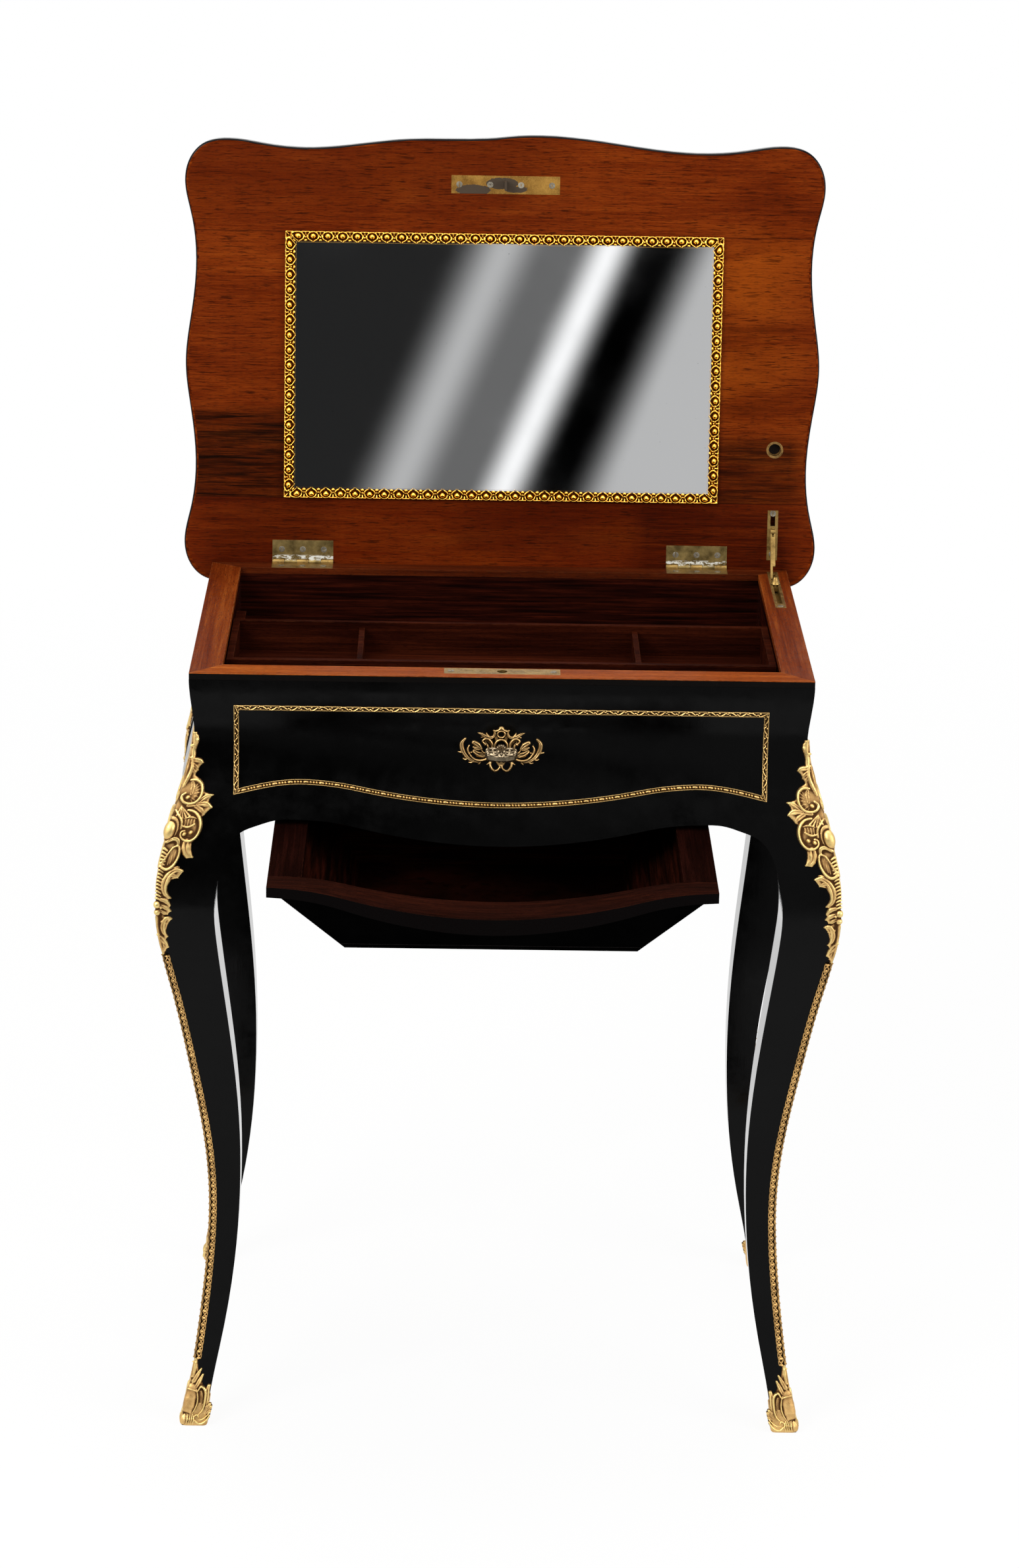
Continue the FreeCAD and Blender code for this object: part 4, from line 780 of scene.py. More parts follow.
def shell(name, places, normals, heights, hollow, back):
    """Closed shell from a grid of places: its raised part, a back and the sides between."""
    rows, columns = heights.shape
    number = np.arange(rows * columns).reshape(rows, columns)
    cells = np.stack([number[:-1, :-1], number[:-1, 1:], number[1:, 1:], number[1:, :-1]], -1)
    top = np.maximum.reduce([heights[:-1, :-1], heights[:-1, 1:], heights[1:, 1:], heights[1:, :-1]])
    quads = cells[top > 0].reshape(-1, 4)
    used = np.unique(quads)
    renumber = np.full(rows * columns, -1)
    renumber[used] = np.arange(len(used))
    quads = renumber[quads]
    flat_places, flat_normals = places.reshape(-1, 3)[used], normals.reshape(-1, 3)[used]
    front = flat_places + flat_normals * heights.reshape(-1)[used, None]
    behind = flat_places + flat_normals * back
    a, b, c = (front[quads[:, k]] for k in (0, 1, 2))
    if np.sum(np.cross(b - a, c - a) * flat_normals[quads[:, 0]]) < 0:
        quads = quads[:, ::-1]
    count = len(used)
    sides = np.concatenate([quads[:, [k, (k + 1) % 4]] for k in range(4)])
    key = sides.min(1) * count + sides.max(1)
    _, first, times = np.unique(key, return_index=True, return_counts=True)
    rim = sides[first[times == 1]]
    walls = np.stack([rim[:, 1], rim[:, 0], rim[:, 0] + count, rim[:, 1] + count], -1)
    faces = np.concatenate([quads, quads[:, ::-1] + count, walls])
    shade = hollow.reshape(-1)[used]
    return make_mesh(name, np.concatenate([front, behind]), faces, np.concatenate([shade, shade]))


def dress(piece, body, slot, finish, *replaced):
    """Gives a piece its finish and its body, and hides the nodes that it stands for. slot is not used."""
    piece.data.materials.append(finishes[finish])
    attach(piece, body)
    if replaced:
        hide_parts(*replaced)


CORNERS = {"front_right": (1, -1), "front_left": (-1, -1), "back_right": (1, 1), "back_left": (-1, 1)}


def mirrored(name, relief, surface, radius, back=-0.3):
    """Shell of a half relief and its mirror image; radius is how wide its hollows are."""
    s, z = np.meshgrid(np.concatenate([-relief.us[:0:-1], relief.us]), relief.vs)
    halves = relief.heights, relief.hollows(radius)
    heights, shade = (np.concatenate([half[:, :0:-1], half], 1) for half in halves)
    return shell(name, *surface(s, z), heights, shade, back)


def wrap(start, name, relief, radius, finish, node):
    """Relief wrapped about the arris of a leg, the same on both faces; node is what it stands for."""
    piece = mirrored(start + name, relief, corner(CORNERS[name]), radius, -0.8)
    dress(piece, "case", "gilt_bronze", finish, node)


# Knee mounts: u is the distance from the arris, v the height over the floor


def knee_relief():
    r = Relief((0, 36), (464.4, 665), 0.6)
    # plate that holds the ornament together, with its leafy outline
    r.sheet([(-3, 664.6), (2.4, 664), (4, 661.5), (4.8, 657.5), (3.4, 652), (2.6, 647), (3.4, 642.5),
             (6, 641), (11.1, 637.3), (9, 634.5), (8.2, 631), (6.8, 627), (9.5, 625.4), (13.2, 623.4),
             (16.6, 620), (18.4, 614.6), (20.5, 612.6), (27.9, 610.6), (25.6, 605.6), (30.4, 599.7),
             (27, 595.5), (25.9, 593.2), (24, 591.5), (26.6, 586), (27.2, 580), (25.2, 573.6), (21.8, 570),
             (22.8, 564), (25.8, 557), (20, 556), (15.8, 559.6), (14.6, 563), (14.2, 558), (12.8, 553),
             (9, 547.6), (14, 548), (19.8, 545), (15.9, 538.8), (10.2, 537.4), (7.2, 530.5), (7.6, 524.5),
             (11.1, 520.4), (7.6, 518.9), (10.4, 513.5), (11.1, 508.5), (8.5, 505.4), (5, 504.5),
             (12, 501.3), (8.4, 497), (6.2, 491), (5.8, 486.5), (6.5, 484), (4, 480.5), (5.3, 473.3),
             (2, 470.5), (0.6, 465.3), (-3, 465)], 1.5)
    # stem with its nail, and pointed leaves
    r.leaf([(0, 664), (0, 656), (0, 648), (0.4, 640)], [2.8, 3.6, 2.8, 3.6], [2.2, 2.8, 2.6, 2.8])
    r.dome((3.2, 658), (1.5, 2.2), 2.6)
    r.dome((0, 652.6), (1.5, 1.5), 4.2)
    r.leaf([(1.5, 640), (5, 639.6), (8, 639), (11.1, 637.2)], [2.0, 2.6, 2.0, 0.4], [2.8, 3.0, 2.4, 1.4])
    r.leaf([(2, 637), (5, 634.4), (8.2, 631)], [1.8, 2.0, 0.5], [3.0, 2.6, 1.4])
    r.leaf([(2, 634), (4.5, 630.5), (6.8, 626.6)], [1.6, 1.8, 0.5], [3.0, 2.6, 1.6])
    r.leaf([(0.6, 641), (1.2, 633), (0.6, 625), (0, 617)], [2.4, 3.4, 3.2, 1.4], [3.2, 3.8, 3.6, 2.6])
    # upper scroll with a ribbed hollow and its ball
    for start, end in (((10, 611), (16, 612.5)), ((9.8, 609.6), (15.8, 608.6)), ((9.4, 608), (14.2, 605.4)),
                       ((8.8, 606.6), (11.4, 604.4)), ((10.4, 613), (15.6, 615.6)),
                       ((10.6, 615), (14.4, 618.6)), ((10.4, 617), (12.4, 621))):
        r.ridge([start, end], [0.5, 0.9], [1.9, 2.4])
    r.dish([(6.6, 621), (8.4, 616), (8.6, 611.4)], [1.0, 1.6, 1.5], [2.4, 2.2, 2.0])
    r.stroke([(4.5, 622.8), (9.7, 622.8), (14.6, 619.8), (17.2, 614.5), (17.4, 608.5), (13.7, 603.7),
              (7.9, 603), (2.7, 605.5), (1.5, 609.3), (3.3, 611.6)],
             [0.9, 1.2, 1.4, 1.4, 1.4, 1.4, 1.3, 1.2, 1.0, 0.9],
             [2.6, 3.2, 3.6, 3.6, 3.6, 3.6, 3.4, 3.2, 3.0, 2.8])
    r.dome((6.5, 608), (2.2, 2.0), 3.8)
    # leaf with three lobes
    r.leaf([(9, 601.4), (13, 601.8), (18, 603)], [1.8, 2.2, 2.4], [2.8, 3.0, 2.6])
    r.leaf([(17.5, 604.5), (22, 608.6), (27.9, 610.4)], [2.0, 2.6, 0.5], [2.8, 3.0, 1.6])
    r.leaf([(18, 603), (22, 605.4), (25.6, 605.8)], [1.6, 2.0, 0.5], [2.6, 2.6, 1.6])
    r.leaf([(17, 602.4), (23, 602.8), (30.4, 599.8)], [2.2, 2.8, 0.5], [2.8, 3.0, 1.6])
    r.leaf([(16, 600.6), (21, 597.8), (25.9, 593.5)], [2.2, 2.6, 0.5], [2.8, 2.8, 1.4])
    # fan of ribs under the scroll
    for tip in ((13.4, 592.4), (10.8, 591), (8.0, 590.4), (5.2, 591), (2.2, 592.6)):
        r.ridge([(3.6, 600.6), tip], [0.6, 1.5], [2.4, 2.8])
    # large lower scroll, its shelf, ribs, ball and nail
    for u in (11.4, 14.0, 16.6, 19.2):
        r.ridge([(u, 583.6), (u - 0.4, 589.4)], [0.9, 1.1], [2.0, 2.4])
    r.stroke([(20.4, 590.4), (14.5, 591.6), (9.4, 590)], [0.7, 0.8, 0.6], [2.4, 2.8, 2.4])
    r.stroke([(19.6, 585.6), (15, 583.2), (9.5, 584)], [0.8, 1.0, 0.7], [2.6, 3.0, 2.6])
    r.stroke([(10.3, 597.5), (15.8, 596.4), (21.5, 592.2), (25, 586), (25.7, 580), (23.6, 574.3),
              (18.6, 571.3), (13.1, 572.6), (10, 576.3), (10.4, 579.2), (12.7, 579.8)],
             [0.9, 1.2, 1.5, 1.6, 1.6, 1.5, 1.4, 1.3, 1.1, 1.0, 0.9],
             [2.8, 3.2, 3.8, 4.0, 4.0, 3.8, 3.6, 3.4, 3.2, 3.0, 2.8])
    r.dome((13.0, 577), (2.1, 2.0), 3.8)
    r.dome((18.4, 578.6), (1.9, 1.9), 3.8)
    # smooth cabochon over the arris, with the leaf that frames it
    r.ridge([(9, 582), (7.8, 588), (4.4, 592.4), (0.4, 597.4)], [1.3, 1.6, 1.6, 0.4], [3.0, 3.6, 4.0, 2.4])
    r.dome((0, 581), (7.4, 12.0), 2.6, "dish")
    r.dome((0, 579.8), (5.0, 9.0), 6.2)
    r.leaf([(10.4, 567), (9.4, 571.6), (5.4, 573), (0.6, 570)], [1.2, 1.9, 1.9, 1.2], [3.0, 3.8, 4.2, 3.6])
    # hanging leaf and its curled tip
    r.leaf([(16.8, 571), (17.6, 565.4), (20.4, 560), (25.6, 557.2)], [3.4, 4.0, 2.8, 0.5],
           [2.6, 3.0, 2.6, 1.4])
    r.leaf([(15, 570), (15.2, 565), (16.4, 560.4)], [1.5, 1.8, 0.5], [2.6, 2.6, 1.6])
    # scoop with fine ribs
    for start, end in (((9.8, 564), (9.2, 553.4)), ((7.8, 563.6), (6.8, 551.4)),
                       ((6.0, 561.6), (4.8, 550.4))):
        r.ridge([start, end], [0.6, 1.0], [1.9, 2.1])
    r.stroke([(6.5, 565.6), (10.6, 567), (13.1, 560.5), (11.7, 553.8), (8.1, 548.6), (3.2, 546.8),
              (0.6, 549), (1.4, 554), (3.6, 560.4), (6.5, 565.4)],
             [0.9, 1.0, 1.2, 1.3, 1.7, 1.8, 1.4, 1.0, 0.8, 0.9],
             [2.6, 2.8, 3.2, 3.4, 3.8, 3.8, 3.4, 3.0, 2.6, 2.6])
    # roped beading down the arris
    for number in range(15):
        z = 564.5 - 3.1 * number
        r.stroke([(0, z), (2.4, z - 1.9)], [1.1, 0.8], [4.0, 2.8])
    # acanthus that sweeps outwards and down
    r.leaf([(19.8, 544.8), (14.5, 546), (9, 543.4), (5.4, 537.6), (4.4, 531), (6, 525), (11.1, 520.6)],
           [0.5, 2.2, 3.4, 3.8, 3.2, 2.4, 0.5], [1.6, 2.8, 3.4, 3.6, 3.4, 2.8, 1.4])
    r.leaf([(6.4, 541), (11, 541.6), (15.9, 539)], [2.0, 2.2, 0.5], [3.2, 2.8, 1.4])
    r.leaf([(8, 545), (11.6, 548), (15.4, 548.6)], [1.4, 1.5, 0.4], [2.8, 2.6, 1.4])
    # husks
    r.leaf([(3, 519.4), (7, 518), (10.4, 513.8)], [2.0, 2.4, 1.0], [3.0, 3.0, 1.8])
    r.leaf([(2.4, 514.2), (7, 512), (11.1, 508.8)], [2.0, 2.4, 0.8], [3.0, 3.0, 1.8])
    r.leaf([(2, 509.6), (5, 507.6), (8.5, 505.6)], [1.8, 2.0, 0.6], [3.0, 2.8, 1.6])
    r.dome((0.4, 514.6), (2.4, 4.0), 4.6)
    r.dome((0.4, 507.6), (2.2, 3.2), 4.2)
    r.dome((2.8, 512.4), (1.3, 1.9), 3.6)
    # last leaves, with a nail
    r.leaf([(12, 501.4), (8, 502.4), (4.5, 498.6), (3.3, 492.6), (4, 487.6), (6.5, 484.1)],
           [0.5, 1.8, 2.4, 2.4, 2.0, 0.5], [1.5, 2.6, 3.2, 3.2, 2.8, 1.5])
    r.leaf([(3, 499), (6, 497.6), (8.6, 497)], [1.4, 1.5, 0.4], [3.0, 2.6, 1.4])
    r.leaf([(0.5, 485), (3, 479.4), (5.3, 473.6)], [2.0, 2.4, 0.5], [3.0, 2.8, 1.5])
    r.leaf([(0.4, 481), (1.4, 474.4), (2, 470)], [1.8, 1.8, 0.5], [2.8, 2.4, 1.4])
    r.ridge([(0, 504), (0, 490), (0, 478), (0, 465.6)], [1.8, 2.2, 2.0, 0.6], [3.6, 3.4, 3.0, 1.8])
    r.dome((0, 487), (1.4, 1.4), 4.2)
    return r


knee = knee_relief()
for name in CORNERS:
    wrap("knee_ornament_", name, knee, 2.2, "gilt_bronze_cast", "knee_mount_" + name)


# Beaded strips down the arrises


def strip_relief():
    """Two strands that cross between a bead line and an edge, with a bead in each eye."""
    r = Relief((0, 5.4), (62.0, 466.0), 0.45)
    r.plate([(0, 62), (0, 466)], [4.5], 0.6)
    r.stroke([(0, 62), (0, 466)], [0.6], 2.4)
    r.stroke([(4.3, 62), (4.3, 466)], [0.4], 1.8)
    pitch, count = 6.4, 63
    for side in (1, -1):
        turns = [2.4 + 1.3 * side * (1 if number % 2 else -1) for number in range(count + 1)]
        r.stroke([(u, 62.4 + pitch * number) for number, u in enumerate(turns)], [0.6], 2.6)
    for number in range(count + 1):
        r.dome((2.4, 62.4 + pitch * number), (1.1, 1.7), 3.2)
    return r


strip = strip_relief()
for name in CORNERS:
    wrap("strip_", name, strip, 1.0, "gilt_bronze_strip", "leg_strips")


# Frames: closed mouldings of even width


def ring_side(points, start, end, step, smooth_line):
    """Places and outward directions along one side, mitred at both ends."""
    if smooth_line:
        line, share = curve(points, step)
    else:
        count = int(np.linalg.norm(np.subtract(points[1], points[0])) / step)
        share = np.linspace(0, 1, count + 1)
        line = points[0] + share[:, None] * np.subtract(points[1], points[0])
    ahead = unit(np.gradient(line, axis=0))
    across = np.stack([ahead[:, 1], -ahead[:, 0]], -1)
    lengths = np.concatenate([[0], np.cumsum(np.linalg.norm(np.diff(line, axis=0), axis=1))])
    blend = 8.0
    near_start = ease(1 - lengths / blend)[:, None]
    near_end = ease(1 - (lengths[-1] - lengths) / blend)[:, None]
    across = across * (1 - near_start) + start * near_start
    across = across * (1 - near_end) + end * near_end
    return line, across, lengths


def mitre(before, after):
    """Direction at a corner that keeps the width on both sides."""
    a = np.array([before[1], -before[0]])
    b = np.array([after[1], -after[0]])
    return (a + b) / (1 + a @ b)


def ring(name, sides, half, step, pattern, surface, base):
    """Closed frame. pattern gives the relief of a side over base, and surface places it."""
    ends = [(unit(np.subtract(p[1], p[0])), unit(np.subtract(p[-1], p[-2]))) for p, _ in sides]
    places, normals, heights, shades = [], [], [], []
    widths = np.linspace(-half, half, int(round(2 * half / step)) + 1)
    for number, (points, kind) in enumerate(sides):
        start = mitre(ends[number - 1][1], ends[number][0])
        end = mitre(ends[number][1], ends[(number + 1) % len(sides)][0])
        line, across, lengths = ring_side(points, start, end, step, len(points) > 2)
        spots = line[:, None, :] + across[:, None, :] * widths[None, :, None]
        relief = pattern(kind, lengths[-1], widths, step)
        rows = np.round(lengths / lengths[-1] * (len(relief.vs) - 1)).astype(int)
        tall = relief.heights[rows]
        place, normal = surface(spots[..., 0], spots[..., 1])
        cut = slice(0, -1)  # the next side starts with the last row
        places.append(place[cut])
        normals.append(normal[cut])
        heights.append(tall[cut])
        shades.append(relief.hollows(1.2)[rows][cut])
    place, normal = np.concatenate(places), np.concatenate(normals)
    tall, shade = np.concatenate(heights) + base, np.concatenate(shades)
    front = place + normal * tall[..., None]
    back = place - normal * 0.3
    loop = np.concatenate([back[:, :1], front, back[:, -1:]], 1)
    shade = np.concatenate([shade[:, :1], shade, shade[:, -1:]], 1)
    rows, columns = loop.shape[:2]
    at = np.arange(rows * columns).reshape(rows, columns)
    after, beside = np.roll(at, -1, 0), np.roll(at, -1, 1)
    quads = np.stack([at, beside, np.roll(after, -1, 1), after], -1).reshape(-1, 4)
    spots = loop.reshape(-1, 3)
    middle = quads.reshape(rows, columns, 4)[:, columns // 2]
    a, b, c = (spots[middle[:, k]] for k in (0, 1, 2))
    if np.sum(np.cross(b - a, c - a) * normal[:, columns // 2]) < 0:
        quads = quads[:, ::-1]
    return make_mesh(name, spots, quads, shade.reshape(-1))


def egg_pattern(kind, length, widths, step):
    """Eggs in cups between darts, near the outer edge, which is at positive w."""
    r = Relief((widths[0], widths[-1]), (0, length), step)
    r.heights[:] = 0.4
    count = max(1, round(length / 14.1))
    pitch = length / count
    r.stroke([(4.9, 0), (4.9, length)], [0.7], 2.2)
    r.stroke([(-5.0, 0), (-5.0, length)], [0.55], 1.4)
    for number in range(count):
        v = (number + 0.5) * pitch
        r.arc((1.0, v), (3.9, 4.7), -118, 118, [0.4, 0.7, 0.8, 0.7, 0.4], [1.6, 2.8, 3.2, 2.8, 1.6])
        r.dome((1.1, v), (2.7, 3.0), 4.2)
        for side in (1, -1):
            r.stroke([(1.6, v + 5.6 * side), (-1.4, v + 4.6 * side), (-3.6, v + 1.6 * side),
                      (-4.6, v + 0.2 * side)], [0.5, 0.8, 0.7, 0.4], [2.0, 2.6, 2.2, 1.4])
        edge = number * pitch
        r.ridge([(4.4, edge), (2.0, edge)], [1.0, 0.5], [2.6, 2.0])
        r.dome((-0.2, edge), (0.9, 0.9), 2.4)
        r.dome((-3.0, edge), (1.2, 1.9), 3.0)
    return r


_, frame_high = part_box("mirror_frame")
strip_half = 5.4
frame_side = frame_high.x / MM - strip_half
frame_foot, frame_head = 62.0, 315.0
foot_v, head_v = frame_foot + strip_half, frame_head - strip_half
corners = [(-frame_side, head_v), (-frame_side, foot_v), (frame_side, foot_v), (frame_side, head_v)]
sides = [([a, b], "eggs") for a, b in zip(corners, corners[1:] + corners[:1])]
piece = ring("mirror_moulding", sides, strip_half, 0.5, egg_pattern, lid_surface, 1.7)
dress(piece, "lid", "mirror_gilt", "mirror_gilt_cast", "mirror_frame")


# Sabots: a plain shoe low on the foot, and leaves and scrolls over its two outer faces


def shoe(name, sides):
    """Band round the foot, closed below and drawn in at its top."""
    right, back = sides
    rows = [(0.0, 0.9), (0.5, 1.5), (2.0, 2.1), (5.0, 2.2), (12.0, 1.6), (19.0, 1.3), (22.0, 1.2),
            (22.6, 0.7), (22.7, -0.8)]
    turns = np.radians(np.arange(0, 360, 7.5))
    spots = []
    for z, grow in rows:
        outer, inner = swell(z), np.interp(z, *inner_line)
        middle, reach = (outer + inner) / 2, (outer - inner) / 2 + grow
        c, s = np.cos(turns), np.sin(turns)
        square = reach / (np.abs(c) ** 8 + np.abs(s) ** 8) ** (1 / 8)
        x = right * (half_width + middle + square * c)
        y = back * (half_depth + middle + square * s)
        spots.append(np.stack([x, y, np.full_like(x, z)], -1))
    count = len(turns)
    spots = np.array(spots)
    at = np.arange(spots.shape[0] * count).reshape(-1, count)
    nxt = np.roll(at, -1, 1)
    quads = np.stack([at[:-1], nxt[:-1], nxt[1:], at[1:]], -1).reshape(-1, 4)
    flat = spots.reshape(-1, 3)
    caps = np.stack([spots[0].mean(0), spots[-1].mean(0)])
    low, high = len(flat), len(flat) + 1
    half = np.arange(0, count, 2)
    later = (half + 2) % count
    under = np.stack([np.full(len(half), low), at[0][later], at[0][half + 1], at[0][half]], -1)
    over = np.stack([np.full(len(half), high), at[-1][half], at[-1][half + 1], at[-1][later]], -1)
    quads = np.concatenate([quads, under, over])
    if right * back < 0:
        quads = quads[:, ::-1]
    return make_mesh(name, np.concatenate([flat, caps]), quads, np.full(len(flat) + 2, 0.55))


def sabot_relief():
    """u is the distance from the arris, v the height over the floor."""
    r = Relief((0, 23.4), (0.3, 66), 0.45)
    r.plate([(0, 62), (0.6, 50), (2, 40), (4, 30), (6, 20), (7, 10), (6, 3)], [1.6, 3.4, 6, 9, 11, 12, 12],
            1.2)
    # tongues at the top
    r.leaf([(0, 46), (0, 54), (0, 61.5)], [2.4, 2.6, 1.6], [2.6, 2.8, 2.2])
    r.leaf([(2, 41), (4, 47), (6.4, 52.4)], [2.2, 2.2, 0.8], [2.4, 2.6, 1.8])
    r.leaf([(4.5, 35), (6.6, 41), (8.8, 47)], [2.2, 2.4, 1.0], [2.4, 2.8, 2.0])
    r.ridge([(1, 36), (1.6, 44), (1.4, 50)], [1.4, 1.2, 0.6], [2.4, 2.2, 1.6])
    r.dome((1.2, 58.4), (0.9, 0.9), 3.4)
    # scroll and the long hollow that it frames
    r.stroke([(5.4, 33.4), (6.2, 31.4), (7.6, 33.2), (9.2, 36), (12.8, 34), (15, 28), (15.6, 21),
              (14.8, 14), (12, 10)], [0.9, 1.1, 1.3, 1.5, 1.5, 1.4, 1.3, 1.3, 1.0],
             [2.8, 3.2, 3.4, 3.6, 3.6, 3.4, 3.2, 3.0, 2.4])
    r.dish([(9.5, 30), (11.4, 22), (10.6, 15)], [2.4, 2.6, 2.0], 1.5)
    # shield over the arris
    r.stroke([(0, 33), (0, 26), (1.5, 18), (5.0, 11.5)], [7.0, 8.2, 7.0, 1.4], [3.2, 4.2, 4.0, 2.6])
    r.stroke([(6.6, 31.5), (8.6, 24), (8.4, 17), (6.2, 11)], [0.6, 0.9, 0.9, 0.6], [3.0, 3.4, 3.4, 2.6])
    r.stroke([(0, 33.8), (3.4, 32.8), (6.6, 31.5)], [0.9, 0.9, 0.7], [4.0, 3.6, 3.0])
    # wing at the side
    r.leaf([(17.4, 18), (16.6, 26), (15.8, 32), (16.2, 36.6)], [1.4, 2.0, 2.4, 1.8], [2.4, 2.6, 2.8, 2.4])
    # fan low at the side, and the foot's scrolls
    for tip in ((22.6, 17.4), (20.4, 19.6), (22.8, 13.6), (18.4, 17.6)):
        r.leaf([(17.6, 10.6), tip], [0.9, 1.7], [1.8, 2.8])
    r.stroke([(22.8, 9.8), (20.4, 5.0), (15.4, 2.4), (11.4, 4.4), (8.8, 8.0), (11.0, 10.2), (13.0, 8.0)],
             [0.9, 1.2, 1.4, 1.3, 1.2, 1.1, 1.0], [2.6, 3.2, 3.4, 3.4, 3.2, 3.2, 3.4])
    r.stroke([(22.4, 12.0), (18.6, 7.4), (14.6, 5.6), (12.0, 6.8)], [0.7, 0.9, 0.8, 0.6],
             [2.6, 2.8, 2.6, 2.2])
    # ribbed toe
    for number in range(5):
        u = 1.1 + 1.9 * number
        r.stroke([(u, 1.6), (u + 0.4, 6.0), (u * 0.8, 10.8)], [0.8, 1.1, 0.6], [2.6, 4.4, 2.8])
    r.dome((0, 6), (5.0, 5.6), 3.8)
    return r


sabot = sabot_relief()
for name, sides in CORNERS.items():
    wrap("sabot_leaves_", name, sabot, 1.6, "gilt_bronze_cast", "sabot_" + name)
    dress(shoe("sabot_shoe_" + name, sides), "case", "gilt_bronze", "gilt_bronze_cast")


# Escutcheon: half of it, mirrored; v is the height over the floor


def escutcheon_relief():
    r = Relief((0, 38.2), (631.6, 675.4), 0.36)
    thin = 1.1
    # crown with its round hole
    r.plate([(3.6, 661), (4.6, 665), (3.6, 668.6), (0, 670.6)], [1.5, 1.6, 1.5, 1.8], thin)
    r.arc((0, 666.9), (3.3, 3.0), -92, 92, [0.8], [2.1])
    r.dome((0, 672.2), (2.4, 1.9), 2.0)
    r.stroke([(1.4, 671.6), (4.4, 670.0), (7.0, 670.2)], [1.0, 1.1, 0.4], [2.2, 2.2, 1.4])
    r.leaf([(6.2, 670), (5.8, 667), (7.6, 664.2), (10.2, 663.6), (14.2, 664.8), (17.4, 666.8),
            (20.2, 667.8)], [0.8, 1.2, 1.5, 1.7, 1.9, 1.4, 0.4], [2.0, 2.2, 2.4, 2.5, 2.4, 2.0, 1.2])
    r.stroke([(11.4, 665), (13, 667.6)], [1.2, 0.4], [2.2, 1.4])
    r.stroke([(14.6, 664.6), (17.6, 663.6)], [1.1, 0.4], [2.0, 1.2])
    # arch over the keyhole
    r.arc((0, 655.6), (5.5, 6.3), -20, 92, [1.3], [2.3, 2.5])
    r.stroke([(5.2, 654), (5.4, 650), (6.8, 645.6), (9.8, 641.4), (12.2, 639.4)], [1.3, 1.4, 1.5, 1.2, 0.5],
             [2.3, 2.3, 2.2, 1.8, 1.2])
    # great scroll
    r.stroke([(14.7, 658.2), (16.2, 660.6), (13.6, 662.6), (9.8, 661), (7.6, 655.6), (8.4, 650), (12, 645),
              (17.6, 642.9), (23, 643.8), (27.4, 648), (29.2, 653.4), (28, 656.2)],
             [1.0, 1.2, 1.4, 1.4, 1.4, 1.4, 1.3, 1.3, 1.2, 1.1, 1.2, 0.8],
             [2.4, 2.5, 2.5, 2.5, 2.5, 2.5, 2.5, 2.4, 2.3, 2.2, 2.2, 1.8])
    r.dome((14.0, 657.4), (1.5, 1.5), 2.4)
    r.dish([(12.8, 659.8), (10.2, 656.2), (10.4, 651.8), (13.4, 648.6), (16.6, 648.6)],
           [1.5, 1.7, 1.7, 1.5, 0.8], 1.2)
    r.stroke([(12.2, 656.6), (11.8, 652.8), (14.4, 649.8), (17.6, 652.8)], [0.5, 0.6, 0.6, 0.5],
             [1.8, 2.0, 2.0, 1.6])
    # leaf and shell inside it
    r.leaf([(17.6, 653.6), (20.8, 656.8), (24.0, 658.6)], [1.3, 2.6, 2.0], [1.8, 2.1, 1.6])
    r.leaf([(17.4, 653.2), (21.6, 653.4), (24.4, 654.6)], [1.2, 1.8, 0.8], [1.8, 2.0, 1.4])
    r.plate([(15.4, 646.6), (19.6, 648.2), (23.6, 651)], [1.5, 2.8, 1.6], thin)
    r.stroke([(16, 646), (20, 647.4), (24.4, 650.4)], [0.6, 0.9, 0.6], [1.7, 2.0, 1.6])
    r.stroke([(17, 649.6), (20.4, 650), (23, 652)], [0.5, 0.8, 0.4], [1.7, 1.9, 1.4])
    r.dome((26.2, 650), (1.0, 1.0), 2.2)
    # outer leaf and its tips
    r.leaf([(20, 641.6), (26, 643), (31, 647), (34.2, 653), (34.4, 658.6), (31.6, 662.2)],
           [1.0, 1.5, 1.9, 2.2, 2.0, 1.0], [1.8, 2.1, 2.4, 2.5, 2.4, 1.8])
    r.stroke([(33, 649), (35.4, 650), (37.6, 650.4)], [1.3, 1.0, 0.4], [2.0, 1.8, 1.2])
    r.stroke([(29, 644.6), (31.4, 643.6), (33.2, 644.6)], [1.2, 1.0, 0.4], [2.0, 1.8, 1.2])
    r.stroke([(24, 642.2), (26.4, 640.8), (28.2, 641.2)], [1.1, 1.0, 0.4], [1.8, 1.6, 1.2])
    r.stroke([(18, 642), (18.6, 640.4), (19.6, 639.6)], [1.0, 0.8, 0.4], [1.8, 1.6, 1.0])
    # foot
    r.plate([(0, 648.4), (0, 640), (0, 637.4)], [5.6, 4.4, 1.6], thin)
    r.stroke([(6.8, 644.4), (9.4, 639.6), (8.2, 636.2), (5.2, 634.0), (2.4, 635.2), (0.6, 638)],
             [1.2, 1.3, 1.3, 1.2, 1.1, 0.8], [2.2, 2.3, 2.4, 2.3, 2.2, 1.8])
    r.dome((0, 638.6), (1.4, 1.4), 2.2)
    # keyhole, as in the plate that this piece stands for
    across, up = np.meshgrid(r.us, r.vs)
    hole_radius, slot_half_width, slot_length = 3.6, 1.86, 11.36
    round_part = np.hypot(across, up - key_height) < hole_radius
    slot = (across < slot_half_width) & (up > key_height - slot_length) & (up < key_height)
    r.heights[round_part | slot] = 0.0
    return r


piece = mirrored("escutcheon_scrolls", escutcheon_relief(), face("y", -1), 1.2)
dress(piece, "case", "gilt_bronze", "gilt_bronze_escutcheon", "escutcheon")


# Screws, whose heads stand a little over the plates either side of a slot


